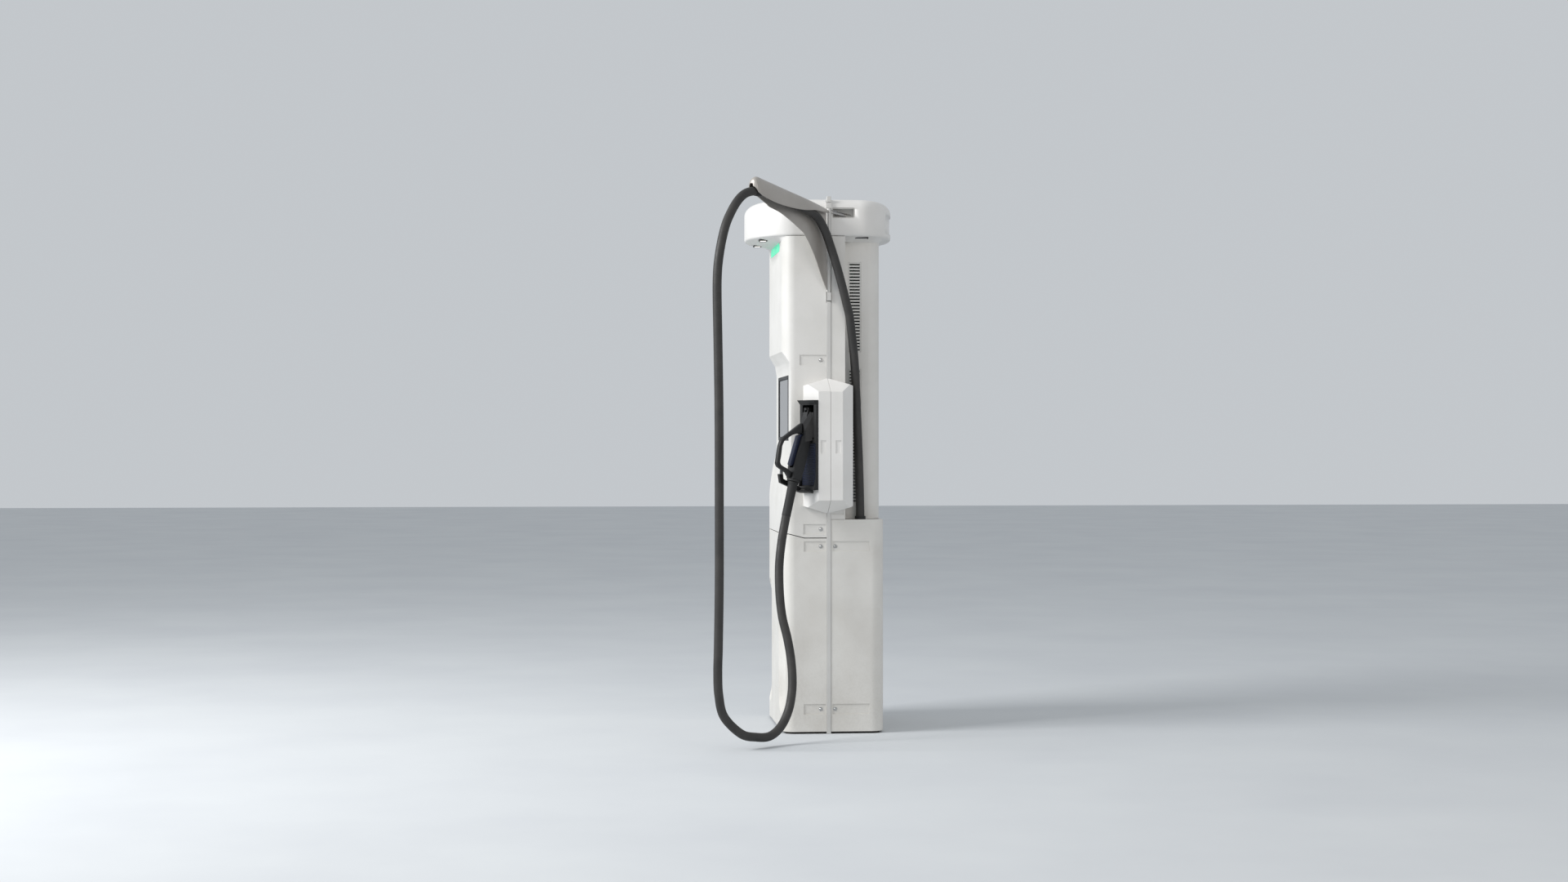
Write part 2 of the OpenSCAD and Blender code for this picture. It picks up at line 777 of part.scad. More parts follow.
module holster_insert() {
    color("black") difference() {
        union() {
            holster_slab(-50, 50) polygon([[0.6, 913], [22, 913], [18, 930], [10, 960], [10, 1228],
                [24, 1245], [0.6, 1245]]);
            holster_slab(-40, 40) polygon([[-50, 1092], [1, 1092], [1, 1234], [-50, 1234]]);
        }
        holster_slab(-34, 34) polygon([[-47, 1100], [30, 1100], [30, 1227], [-47, 1227]]);
        holster_slab(-45, 45) polygon([[4, 926], [40, 926], [40, 1086], [4, 1086]]);
    }
}

// Bracket under the connector's tail, on the far side of the cable
module holster_bracket() {
    color("black") {
        holster_slab(-46, -33) polygon([[23, 905], [112, 940], [118, 972], [100, 972], [98, 954], [23, 924]]);
        holster_slab(-46, 34) polygon([[10.5, 900], [30, 905], [30, 912.5], [10.5, 912.5]]);
    }
}

// ---------- swing arm ----------

module hinge_bracket(z0, z1) {
    color("silver") difference() {
        block(half_w - 15.5, half_w + 8, -7.5, 7.5, z0, z1);
        translate([hinge.x, 0, z0 - 1]) cylinder(r = pin_r + 0.05, h = z1 - z0 + 2);
    }
}

module upper_hinge_bracket() {
    hinge_bracket(arm_z1 + 1, arm_z1 + 22);
}

module lower_hinge_bracket() {
    hinge_bracket(arm_z0 - 32, arm_z0 - 1);
}

module hinge_pin() {
    color("silver") translate([hinge.x, 0, arm_z0 - 30]) cylinder(r = pin_r, h = arm_z1 - arm_z0 + 50);
}

module arm_barrel() {
    color("darkgray") difference() {
        union() {
            translate([hinge.x, 0, arm_z0]) cylinder(r = barrel_r, h = arm_z1 - arm_z0);
            arm_frame() block(0, 12, -2, 2, arm_z0 + 2, arm_z1 - 14);
        }
        translate([hinge.x, 0, arm_z0 - 1]) cylinder(r = pin_r + 0.05, h = arm_z1 - arm_z0 + 2);
    }
}

// Share of the lift at an angle round the hood: all of it at the far lip, none at the ridge
function lip_share(a) = (1 + cos(a)) / 2 * (1 - sin(a));

// One section of the hood: half an ellipse outside, and the same half inset by its wall
function hood_ring(s, n = 12) =
    let (u = s[0], zt = s[1], zl = s[2], w = s[3], t = min(hood_t, (zt - zl) / 3),
        mid = u > 400 ? hood_mid : w / 2 - 3,
        lift = min(lip_lift, max(0, (u - 360) / 4)))
    concat(
        [for (i = [0 : n]) let (a = 180 * i / n)
            [u, mid - (w / 2 - t) * cos(a), zl + lip_share(a) * lift + (zt - zl - t) * sin(a)]],
        [for (i = [n : -1 : 0]) let (a = 180 * i / n)
            [u, mid - w / 2 * cos(a), zl + lip_share(a) * lift + (zt - zl) * sin(a)]]
    );

module arm_hood() {
    color("darkgray") arm_frame() loft([for (s = hood) hood_ring(s)]);
}

// The leaf's back plate hangs from the hood's inner lip
module arm_web() {
    color("darkgray") arm_frame() translate([0, 1, 0]) rotate([90, 0, 0]) linear_extrude(4)
        polygon(concat(web_lower, [for (i = [web_stations - 1 : -1 : 0]) [max(hood[i][0], 12.2), hood[i][2] - 0.3]]));
}

module arm_tail() {
    color("silver") translate([hinge.x, 0, 0]) rotate([0, 0, tail_angle]) {
        translate([0, 1.5, 0]) rotate([90, 0, 0]) linear_extrude(3)
            polygon([[barrel_r + 0.2, 1944], [tail_len, 1929], [tail_len, 1942], [barrel_r + 0.2, 1957]]);
        for (dz = [0, 11]) translate([0, -1, 0]) rotate([90, 0, 0]) linear_extrude(9)
            polygon([[barrel_r + 0.2, 1944 + dz], [tail_len, 1929 + dz], [tail_len, 1931 + dz], [barrel_r + 0.2, 1946 + dz]]);
    }
}

// Two saddles that hold the cable inside the hood
module arm_cable_clamp() {
    color("dimgray") arm_frame() for (s = [[246, 1959.7], [330, 1973.5]]) translate([s[0], 24.7, s[1]])
        difference() {
            rotate([0, 90, 0]) cylinder(r = cable_d / 2 + 3.5, h = 16);
            rotate([0, 90, 0]) translate([0, 0, -1]) cylinder(r = cable_d / 2 + 1.5, h = 18);
            block(-1, 17, -40, 40, -40, -6);
        }
}

// ---------- cable and connector ----------

module charging_cable() {
    color([0.13, 0.13, 0.13]) tube_along(cable_route, cable_d, cable_ring, cable_sides);
}

// The boot runs straight from the collar to the end of the cable
module cable_boot() {
    end = cable_route[len(cable_route) - 1];
    top = [holster.x + 78.4 * cos(holster_angle), holster.y + 78.4 * sin(holster_angle), 942.9];
    axis = top - end;
    lean = acos(axis.z / norm(axis));
    turn = atan2(axis.y, axis.x);
    color([0.1, 0.1, 0.1]) translate(end) rotate([0, lean, turn]) translate([0, 0, 0.5])
        cylinder(r1 = cable_d / 2 + 0.8, r2 = cable_d / 2 + 2, h = norm(axis) - 1.5);
}

// Solid between two sections of the connector's head, each [q, list of (s, z)]
module head_between(a, b) {
    holster_frame() hull() for (part = [a, b]) for (p = part[1])
        translate([part[0], p.x, p.y]) cube([0.5, 0.01, 0.01], center = true);
}

module connector_housing() {
    color([0.12, 0.12, 0.12]) difference() {
        union() {
            head_between([12.25, [[-30, 1096], [30, 1096], [-28, 1182], [28, 1182], [-20, 1202], [20, 1202]]],
                [40, [[-21, 1090], [21, 1090], [-20, 1132], [20, 1132], [-9.5, 1160], [9.5, 1160]]]);
            holster_slab(-21, 21) polygon([[12, 1100], [12, 1132], [40, 1132], [40, 1119], [50, 1109], [86, 1008],
                [94.5, 957], [58, 947], [37.5, 1008]]);
            // ears for the latch's pin
            holster_slab(-12, 12) polygon([[12, 1190], [12, 1217], [17, 1217], [27, 1178]]);
        }
        // pocket for the trigger
        holster_slab(-10, 10) polygon([[28, 1120.2], [68, 1120.2], [110, 1000], [75, 994], [35, 1098], [28, 1104]]);
        // channel for the latch lever
        holster_slab(-8, 8) polygon([[8, 1201], [44, 1201], [44, 1230], [8, 1230]]);
    }
    color("silver") {
        cross_pin(trigger_pivot, 2, 10.5);
        cross_pin(latch_pivot, 2, 8.5);
    }
}

// Pin across the holster frame at (q, z)
module cross_pin(at, r, reach) {
    holster_frame() translate([at.x, reach, at.y]) rotate([90, 0, 0]) cylinder(r = r, h = 2 * reach);
}

module connector_guard() {
    color([0.12, 0.12, 0.12]) holster_slab(-9, 9) polygon([[40.3, 1160], [52, 1156], [69, 1145], [107, 1121], [128, 1108],
        [140, 1096], [148, 1076], [154, 1045], [160, 1012], [155, 1000], [137, 989], [117, 979], [106, 962],
        [94.6, 959], [91.2, 980], [112, 994], [128, 1001], [140, 1008], [143, 1018], [138, 1040],
        [133, 1076], [122, 1096], [86, 1116], [70, 1120.5], [40.3, 1120.5]]);
}

module connector_nose() {
    color([0.1, 0.1, 0.1]) difference() {
        holster_slab(-32, 32) polygon([[-42, 1106], [11.5, 1106], [11.5, 1200], [-42, 1200]]);
        holster_slab(-28, 28) polygon([[-43, 1110], [-6, 1110], [-6, 1196], [-43, 1196]]);
    }
}

module contact_pins() {
    color("gold") holster_frame() {
        for (s = [-14, 14]) translate([-36, s, 1124]) rotate([0, 90, 0]) cylinder(r = 5, h = 29);
        for (p = [[-12, 1160], [12, 1160], [0, 1180], [-17, 1178], [17, 1178]])
            translate([-32, p[0], p[1]]) rotate([0, 90, 0]) cylinder(r = 3, h = 25);
    }
}

module connector_collar() {
    color([0.1, 0.1, 0.1]) holster_frame() translate([78.4, 0, 942.9]) rotate([0, -15, 0])
        difference() {
            cylinder(r = 25, h = 9);
            translate([0, 0, -1]) cylinder(r = 12, h = 3);
        }
}

// Trigger along the grip, turning on a pin at its upper end
module trigger() {
    color("midnightblue") difference() {
        holster_slab(-9, 9) polygon([[31, 1117], [56, 1117], [62, 1113], [99, 1009], [94, 1003],
            [87, 1006], [46, 1100], [33, 1103]]);
        cross_pin(trigger_pivot, 2.05, 11);
    }
}

module latch_hook() {
    color([0.1, 0.1, 0.1]) difference() {
        holster_slab(-7, 7) polygon([[-34, 1203], [-26, 1203], [-24, 1206], [16, 1206], [24, 1208],
            [24, 1216], [16, 1218], [-34, 1212]]);
        cross_pin(latch_pivot, 2.05, 9);
    }
}

// ---------- assembly ----------

base_plate();
frame_posts();
top_plate();
equipment_plate();
left_seam_strip();
right_seam_strip();
top_seam_strip();
lower_front_door();
upper_front_shell();
rear_base_shell();
upper_rear_shell();
front_head_cover();
rear_head_cover();
vent_grilles();
panel_screws();
light_strip();
head_lamps();
display_bezel();
display_glass();
display_module();
card_reader();
control_box();
power_supply();
dc_contactors();
dc_busbars();
energy_meter();
isolator_switch();
isolator_knob();
coolant_tank();
coolant_pump();
radiator();
fan_frame();
upper_fan();
lower_fan();
cable_gland();
pod_front_half();
pod_rear_half();
holster_insert();
holster_bracket();
upper_hinge_bracket();
lower_hinge_bracket();
hinge_pin();
arm_barrel();
arm_hood();
arm_web();
arm_tail();
arm_cable_clamp();
charging_cable();
cable_boot();
connector_housing();
connector_guard();
connector_nose();
contact_pins();
connector_collar();
trigger();
latch_hook();
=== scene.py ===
"""Looks of a roadside fast-charging post with a swing arm, one cable and a holstered connector.

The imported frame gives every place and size; each class below dresses one sub-assembly of it.
Lengths in the route and profile lists are millimetres in the frame's own axes.
"""

import json
import logging
import math
from dataclasses import dataclass, field
from enum import Enum
from typing import Any, Callable, Iterable, Sequence

import bmesh
import bpy
from mathutils import Euler, Matrix, Vector

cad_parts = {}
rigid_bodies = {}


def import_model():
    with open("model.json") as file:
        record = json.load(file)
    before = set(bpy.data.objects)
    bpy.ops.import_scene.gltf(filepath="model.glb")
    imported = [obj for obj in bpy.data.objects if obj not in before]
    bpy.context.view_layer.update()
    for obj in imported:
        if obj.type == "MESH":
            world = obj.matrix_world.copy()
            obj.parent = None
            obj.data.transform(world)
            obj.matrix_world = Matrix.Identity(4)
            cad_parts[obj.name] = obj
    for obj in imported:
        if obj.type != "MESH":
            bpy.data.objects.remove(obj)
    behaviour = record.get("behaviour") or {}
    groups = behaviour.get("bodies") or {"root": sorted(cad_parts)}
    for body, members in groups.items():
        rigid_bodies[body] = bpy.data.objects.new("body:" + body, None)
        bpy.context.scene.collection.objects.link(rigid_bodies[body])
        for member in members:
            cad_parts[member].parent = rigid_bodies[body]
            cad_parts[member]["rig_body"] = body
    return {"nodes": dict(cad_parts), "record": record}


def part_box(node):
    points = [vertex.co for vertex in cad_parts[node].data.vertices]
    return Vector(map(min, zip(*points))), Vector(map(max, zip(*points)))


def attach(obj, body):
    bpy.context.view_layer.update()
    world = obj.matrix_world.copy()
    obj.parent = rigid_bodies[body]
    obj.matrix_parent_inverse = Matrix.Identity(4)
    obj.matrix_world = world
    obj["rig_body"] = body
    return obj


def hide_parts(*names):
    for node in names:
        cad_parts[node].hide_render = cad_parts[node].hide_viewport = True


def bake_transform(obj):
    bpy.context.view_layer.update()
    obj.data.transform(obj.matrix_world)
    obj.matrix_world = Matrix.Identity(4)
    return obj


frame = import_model()

log = logging.getLogger("charging_post")
MM = 0.001
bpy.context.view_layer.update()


# ---------------------------------------------------------------- colour and shader nodes


def linear(hex_colour: str) -> tuple[float, float, float, float]:
    """Turn an sRGB hex colour into linear RGBA.

    Args:
        hex_colour: Six hex digits, such as "d8d6d2".

    Returns:
        Linear red, green, blue and an alpha of 1.
    """
    parts = [int(hex_colour[i : i + 2], 16) / 255 for i in (0, 2, 4)]
    flat = [p / 12.92 if p <= 0.04045 else ((p + 0.055) / 1.055) ** 2.4 for p in parts]
    return (flat[0], flat[1], flat[2], 1.0)


def add(tree: bpy.types.NodeTree, kind: str, links: dict[Any, Any] | None = None, **settings: Any) -> Any:
    """Add one node with its settings, values and links.

    Args:
        tree: Shader or geometry tree.
        kind: Blender's type name of the node.
        links: Input name or number to a value, or to the output socket that feeds it.
        **settings: Attributes of the node itself.

    Returns:
        The new node.
    """
    made = tree.nodes.new(kind)
    for key, value in settings.items():
        setattr(made, key, value)
    for key, value in (links or {}).items():
        if isinstance(value, bpy.types.NodeSocket):
            tree.links.new(value, made.inputs[key])
        else:
            made.inputs[key].default_value = value
    return made


class Grain(Enum):
    """How a surface was made, which sets its fine relief."""

    ORANGE_PEEL = "powder coat that has flowed out in the oven"
    SPARK = "moulded in a spark-eroded tool"
    BRUSHED = "drawn over a fine belt"
    SMOOTH = "polished or float glass"
    RUBBERY = "extruded jacket with a faint drag along it"


@dataclass(frozen=True)
class Finish:
    """One surface finish, with every pattern sized in real millimetres.

    Attributes:
        name: Material and process, in a maker's words.
        colour: Main colour, sRGB hex.
        drift: Colour that broad, faint clouds lean to, sRGB hex.
        roughness: Mean roughness.
        spread: How far the roughness wanders either side.
        metallic: 1 for bare metal.
        ior: Index of refraction; metals keep the default.
        grain: Kind of fine relief.
        grain_mm: Size of one grain.
        relief_mm: Height of the grain.
        cloud_mm: Size of the broad clouds.
        dust: Share of road dust near the ground.
        coat: Weight of a clear coat.
        glow: Strength of the light it gives out.
        run: Axis of brushing or drag.
    """

    name: str
    colour: str
    drift: str
    roughness: float
    spread: float = 0.05
    metallic: float = 0.0
    ior: float = 1.5
    grain: Grain = Grain.SPARK
    grain_mm: float = 1.2
    relief_mm: float = 0.04
    cloud_mm: float = 180.0
    dust: float = 0.0
    coat: float = 0.0
    glow: float = 0.0
    run: tuple[float, float, float] = (1.0, 1.0, 1.0)

    def material(self) -> bpy.types.Material:
        """Build the finish once and hand back the same material after that."""
        known = bpy.data.materials.get(self.name)
        if known is not None:
            return known
        made = bpy.data.materials.new(self.name)
        made.use_nodes = True
        tree = made.node_tree
        tree.nodes.clear()
        place = add(tree, "ShaderNodeTexCoord").outputs["Object"]
        colour = self._colour(tree, place)
        shader = add(tree, "ShaderNodeBsdfPrincipled", {
            "Base Color": colour,
            "Roughness": self._roughness(tree, place),
            "Metallic": self.metallic,
            "Coat Weight": self.coat,
            "Coat Roughness": 0.08,
            "Normal": self._relief(tree, place),
        })
        if not self.metallic:
            shader.inputs["IOR"].default_value = self.ior
        if self.glow:
            shader.inputs["Emission Color"].default_value = linear(self.colour)
            shader.inputs["Emission Strength"].default_value = self.glow
        add(tree, "ShaderNodeOutputMaterial", {"Surface": shader.outputs[0]})
        return made

    def _colour(self, tree: bpy.types.NodeTree, place: Any) -> Any:
        """Broad clouds between the two colours, then dust that thins out with height."""
        clouds = add(tree, "ShaderNodeTexNoise", {
            "Vector": place, "Scale": 1 / (self.cloud_mm * MM), "Detail": 5.0, "Roughness": 0.55,
        })
        share = add(tree, "ShaderNodeMapRange", {
            "Value": clouds.outputs[0], "From Min": 0.35, "From Max": 0.7,
        })
        mixed = add(tree, "ShaderNodeMix", {
            0: share.outputs[0], 6: linear(self.colour), 7: linear(self.drift),
        }, data_type="RGBA")
        if not self.dust:
            return mixed.outputs[2]
        height = add(tree, "ShaderNodeSeparateXYZ", {0: place})
        low = add(tree, "ShaderNodeMapRange", {
            "Value": height.outputs[2], "From Min": 0.02, "From Max": 0.55, "To Min": 1.0, "To Max": 0.12,
        }, interpolation_type="SMOOTHSTEP")
        specks = add(tree, "ShaderNodeTexNoise", {
            "Vector": place, "Scale": 1 / (9 * MM), "Detail": 8.0, "Roughness": 0.7,
        })
        patch = add(tree, "ShaderNodeMapRange", {
            "Value": specks.outputs[0], "From Min": 0.42, "From Max": 0.8, "To Max": self.dust,
        })
        weight = add(tree, "ShaderNodeMath", {0: low.outputs[0], 1: patch.outputs[0]}, operation="MULTIPLY")
        dusty = add(tree, "ShaderNodeMix", {
            0: weight.outputs[0], 6: mixed.outputs[2], 7: linear("8d8578"),
        }, data_type="RGBA")
        return dusty.outputs[2]

    def _roughness(self, tree: bpy.types.NodeTree, place: Any) -> Any:
        """Roughness that wanders with handling and weather."""
        smears = add(tree, "ShaderNodeTexNoise", {
            "Vector": place, "Scale": 1 / (self.cloud_mm * 0.4 * MM), "Detail": 6.0, "Roughness": 0.6,
        })
        return add(tree, "ShaderNodeMapRange", {
            "Value": smears.outputs[0], "From Min": 0.3, "From Max": 0.7,
            "To Min": max(0.02, self.roughness - self.spread), "To Max": self.roughness + self.spread,
        }).outputs[0]

    def _relief(self, tree: bpy.types.NodeTree, place: Any) -> Any:
        """Fine relief for the way the surface was made."""
        squeezed = add(tree, "ShaderNodeMapping", {"Vector": place, "Scale": self.run})
        if self.grain is Grain.SPARK:
            height = add(tree, "ShaderNodeTexVoronoi", {
                "Vector": squeezed.outputs[0], "Scale": 1 / (self.grain_mm * MM),
            }, feature="SMOOTH_F1").outputs["Distance"]
        else:
            height = add(tree, "ShaderNodeTexNoise", {
                "Vector": squeezed.outputs[0], "Scale": 1 / (self.grain_mm * MM), "Detail": 3.0,
            }).outputs[0]
        return add(tree, "ShaderNodeBump", {
            "Height": height, "Distance": self.relief_mm * MM,
            "Strength": 0.0 if self.grain is Grain.SMOOTH else 0.8,
        }).outputs[0]


# Polyester powder on steel: soft highlight, a slight orange peel that shows at 4 mm
COAT = Finish("powder_coated_steel_white", "dcdad6", "d2d0cb", 0.42, grain=Grain.ORANGE_PEEL,
              grain_mm=4.0, relief_mm=0.09, dust=0.1)
# The door and rear base stand lower, so they carry more road dust
LOW_COAT = Finish("powder_coated_steel_white_low", "dbd9d4", "cfccc6", 0.45, grain=Grain.ORANGE_PEEL,
                  grain_mm=4.0, relief_mm=0.09, dust=0.16)
# Moulded polycarbonate blend: whiter and a little glossier than the coated steel
POD_PLASTIC = Finish("moulded_polycarbonate_white", "e6e4e1", "dedcd8", 0.34, ior=1.58,
                     grain=Grain.ORANGE_PEEL, grain_mm=2.5, relief_mm=0.03)

FINISHES: dict[str, Finish] = {
    "cover_white": COAT,
    "head_white": Finish("powder_coated_head_white", "e2e0dd", "d9d7d3", 0.36, grain=Grain.ORANGE_PEEL,
                         grain_mm=4.0, relief_mm=0.07),
    "pod_white": POD_PLASTIC,
    # Coated grille, greyer than the covers: painted shade for the recessed slats and the hollow of the tail
    # pocket
    "grille_white": Finish("powder_coated_grille", "d6d5d1", "cbc9c5", 0.48, grain=Grain.ORANGE_PEEL,
                           grain_mm=2.0, relief_mm=0.05),
    "anchor_steel": Finish("primed_hot_rolled_steel", "3a3a3c", "2e2d2c", 0.7, spread=0.1, grain_mm=3.0,
                           relief_mm=0.15, dust=0.5),
    # Zinc spangle is broad and pale
    "frame_steel": Finish("galvanised_steel", "a9adb0", "8f9498", 0.42, spread=0.1, metallic=1.0,
                          cloud_mm=14.0, grain_mm=6.0, relief_mm=0.02),
    # Anodised extrusion: drawn lines run up it
    "strip_aluminium": Finish("anodised_aluminium_extrusion", "cfcecb", "c4c3c0", 0.5, metallic=0.3,
                              grain=Grain.BRUSHED, grain_mm=0.8, relief_mm=0.02, run=(1.0, 1.0, 0.02)),
    "screw_steel": Finish("stainless_steel_turned", "c9c9c8", "b2b2b0", 0.28, metallic=1.0,
                          grain=Grain.BRUSHED, grain_mm=0.5, relief_mm=0.01, cloud_mm=8.0),
    # Opal acrylic lit from behind
    "strip_light": Finish("opal_acrylic_lit_green", "1fc795", "18b487", 0.25, ior=1.49, grain=Grain.SMOOTH,
                          glow=0.75),
    "lamp_lens": Finish("opal_acrylic_lit_white", "fffaf0", "f6f0e4", 0.25, ior=1.49, grain=Grain.SMOOTH,
                        glow=1.6),
    "bezel_black": Finish("moulded_abs_black", "17181a", "1e1f21", 0.48, ior=1.54, grain_mm=1.0),
    "screen_glass": Finish("toughened_glass_black_printed", "08090b", "0b0d10", 0.08, spread=0.03,
                           ior=1.52, grain=Grain.SMOOTH, coat=0.5),
    "reader_black": Finish("moulded_polycarbonate_black", "1b1c1f", "232427", 0.3, ior=1.58, grain_mm=0.8),
    "device_grey": Finish("stove_enamelled_steel_grey", "8e979f", "858d94", 0.4, grain=Grain.ORANGE_PEEL,
                          grain_mm=2.5, relief_mm=0.05),
    "device_steel": Finish("folded_zinc_steel", "a2a4a6", "8d9093", 0.38, metallic=1.0,
                           grain=Grain.BRUSHED, grain_mm=0.8, relief_mm=0.015, run=(0.03, 1.0, 1.0)),
    "device_black": Finish("moulded_glass_nylon_black", "1c1d1f", "26272a", 0.55, ior=1.53, grain_mm=0.9),
    "busbar_copper": Finish("bare_rolled_copper", "c07a50", "9a5b3c", 0.3, metallic=1.0,
                            grain=Grain.BRUSHED, grain_mm=0.7, relief_mm=0.01, run=(1.0, 1.0, 0.03)),
    "meter_grey": Finish("moulded_polycarbonate_grey", "bfc1c0", "b3b5b4", 0.45, ior=1.58),
    "knob_red": Finish("moulded_nylon_red", "b01f18", "99170f", 0.35, ior=1.53, relief_mm=0.02),
    "tank_natural": Finish("blow_moulded_polyethylene", "dfe0d6", "cfd1c4", 0.4, ior=1.51,
                           grain=Grain.ORANGE_PEEL, grain_mm=8.0, relief_mm=0.1),
    "fin_aluminium": Finish("mill_finish_aluminium", "c2c4c6", "b1b3b5", 0.35, metallic=1.0,
                            grain=Grain.BRUSHED, grain_mm=0.6, relief_mm=0.01),
    "insert_black": Finish("moulded_nylon_black", "0b0b0c", "131314", 0.55, ior=1.53, grain_mm=0.9,
                           relief_mm=0.05),
    # Metallic lacquer on the cast arm: warm grey, satin
    "arm_paint": Finish("metallic_lacquer_warm_grey", "aea9a3", "a39e98", 0.36, spread=0.07, metallic=0.3,
                        grain=Grain.ORANGE_PEEL, grain_mm=1.5, relief_mm=0.02, coat=0.15),
    "arm_steel": Finish("satin_stainless_steel", "b9b7b5", "a5a3a1", 0.26, metallic=1.0,
                        grain=Grain.BRUSHED, grain_mm=0.8, relief_mm=0.015, run=(1.0, 1.0, 0.03)),
    "clamp_black": Finish("moulded_epdm_black", "161616", "202020", 0.75, ior=1.5),
    # Thermoplastic elastomer: matt, and paler where it has been dragged
    "cable_jacket": Finish("extruded_elastomer_black", "2c2b2a", "373533", 0.58, spread=0.08, ior=1.5,
                           grain=Grain.RUBBERY, grain_mm=1.6, relief_mm=0.06, cloud_mm=60.0),
    "boot_rubber": Finish("moulded_rubber_black", "1d1d1d", "262626", 0.68, ior=1.5, grain_mm=1.1),
    "connector_black": Finish("spark_textured_nylon_black", "0e0e0f", "171718", 0.5, ior=1.53,
                              grain_mm=1.0, relief_mm=0.05, cloud_mm=40.0),
    "contact_silver": Finish("silver_plated_brass", "d8d2bf", "c6bea8", 0.22, metallic=1.0,
                             grain=Grain.SMOOTH, cloud_mm=10.0),
    "trigger_blue": Finish("moulded_nylon_dark_blue", "131c33", "1a2543", 0.36, ior=1.53, grain_mm=0.8,
                           relief_mm=0.03),
}
SLOT_OF: dict[str, str] = {s["node"]: s["material_slot"] for s in frame["record"]["subparts"]}


# ---------------------------------------------------------------- meshes


def mesh_object(name: str, points: Sequence[Sequence[float]],
                faces: Sequence[Sequence[int]]) -> bpy.types.Object:
    """Make an object at the origin from points in metres and faces.

    Args:
        name: Name of the piece.
        points: Vertices in metres.
        faces: Vertex numbers of each face.

    Returns:
        The linked object.
    """
    mesh = bpy.data.meshes.new(name)
    mesh.from_pydata([tuple(p) for p in points], [], [tuple(f) for f in faces])
    made = bpy.data.objects.new(name, mesh)
    bpy.context.scene.collection.objects.link(made)
    return made


def close_up(obj: bpy.types.Object, merge: float = 1e-5) -> None:
    """Merge doubles and turn every face outwards."""
    bm = bmesh.new()
    bm.from_mesh(obj.data)
    bmesh.ops.remove_doubles(bm, verts=bm.verts, dist=merge)
    bmesh.ops.recalc_face_normals(bm, faces=bm.faces)
    bm.to_mesh(obj.data)
    bm.free()


def bake_modifiers(obj: bpy.types.Object) -> bpy.types.Object:
    """Turn an object with modifiers into a plain mesh with none."""
    graph = bpy.context.evaluated_depsgraph_get()
    graph.update()
    plain = bpy.data.meshes.new_from_object(obj.evaluated_get(graph), preserve_all_data_layers=True,
                                            depsgraph=graph)
    obj.modifiers.clear()
    old = obj.data
    obj.data = plain
    plain.name = obj.name
    bpy.data.meshes.remove(old)
    return obj


def smooth(obj: bpy.types.Object, angle: float = 40.0) -> None:
    """Shade smooth, with edges sharper than the angle kept crisp."""
    obj.data.shade_smooth()
    obj.data.set_sharp_from_angle(angle=math.radians(angle))


def rounded(obj: bpy.types.Object, width_mm: float, segments: int = 2, angle: float = 32.0,
            weighted: bool = False) -> bpy.types.Object:
    """Round an object's edges, and shade its flats flat.

    Args:
        obj: Mesh object.
        width_mm: Width of the rounding.
        segments: Faces across it.
        angle: Edges flatter than this stay as they are.
        weighted: Whether each edge carries its own share of the width.

    Returns:
        The same object as a plain mesh.
    """
    bevel = obj.modifiers.new("edge", "BEVEL")
    bevel.width = width_mm * MM
    bevel.segments = segments
    bevel.limit_method = "WEIGHT" if weighted else "ANGLE"
    bevel.angle_limit = math.radians(angle)
    bevel.use_clamp_overlap = True
    bevel.miter_outer = "MITER_ARC"
    bake_modifiers(obj)
    smooth(obj, 50)
    flat = obj.modifiers.new("flats", "WEIGHTED_NORMAL")
    flat.keep_sharp = True
    return bake_modifiers(obj)


def cad_copy(node: str, name: str | None = None) -> bpy.types.Object:
    """Copy a CAD node's mesh, merged into clean faces.

    Args:
        node: Name of the CAD node.
        name: Name of the piece; the node's with "_skin" if left out.

    Returns:
        A new object that can be rounded.
    """
    source = frame["nodes"][node].data
    bm = bmesh.new()
    bm.from_mesh(source)
    bmesh.ops.remove_doubles(bm, verts=bm.verts, dist=2e-6)
    bmesh.ops.dissolve_limit(bm, angle_limit=math.radians(0.6), verts=bm.verts, edges=bm.edges)
    name = name or node + "_skin"
    mesh = bpy.data.meshes.new(name)
    bm.to_mesh(mesh)
    bm.free()
    made = bpy.data.objects.new(name, mesh)
    bpy.context.scene.collection.objects.link(made)
    return made


def weigh_edges(obj: bpy.types.Object, small: float, angle: float = 28.0) -> None:
    """Give outer corners the whole rounding and every other edge a small share.

    Args:
        obj: Mesh object whose outer corners lie on its convex hull.
        small: Share for edges that aren't outer corners.
        angle: Edges flatter than this get none.
    """
    bm = bmesh.new()
    bm.from_mesh(obj.data)
    hull = bmesh.new()
    for v in bm.verts:
        hull.verts.new(v.co)
    shell = bmesh.ops.convex_hull(hull, input=hull.verts)["geom"]
    planes = {}
    for f in (g for g in shell if isinstance(g, bmesh.types.BMFace)):
        f.normal_update()
        key = tuple(round(c, 3) for c in f.normal)
        planes[key] = max(planes.get(key, -9.0), f.normal.dot(f.verts[0].co))
    hull.free()

    def outer(face: bmesh.types.BMFace) -> bool:
        """Whether a face lies on the hull."""
        normal, spot = face.normal, face.calc_center_median()
        return any(Vector(k).dot(normal) > 0.999 and Vector(k).dot(spot) > d - 4e-4
                   for k, d in planes.items())

    on_hull = {f.index: outer(f) for f in bm.faces}
    layer = bm.edges.layers.float.new("bevel_weight_edge")
    for e in bm.edges:
        if len(e.link_faces) == 2 and e.calc_face_angle(0.0) > math.radians(angle):
            both = all(on_hull[f.index] for f in e.link_faces)
            e[layer] = 1.0 if both else small
    bm.to_mesh(obj.data)
    bm.free()


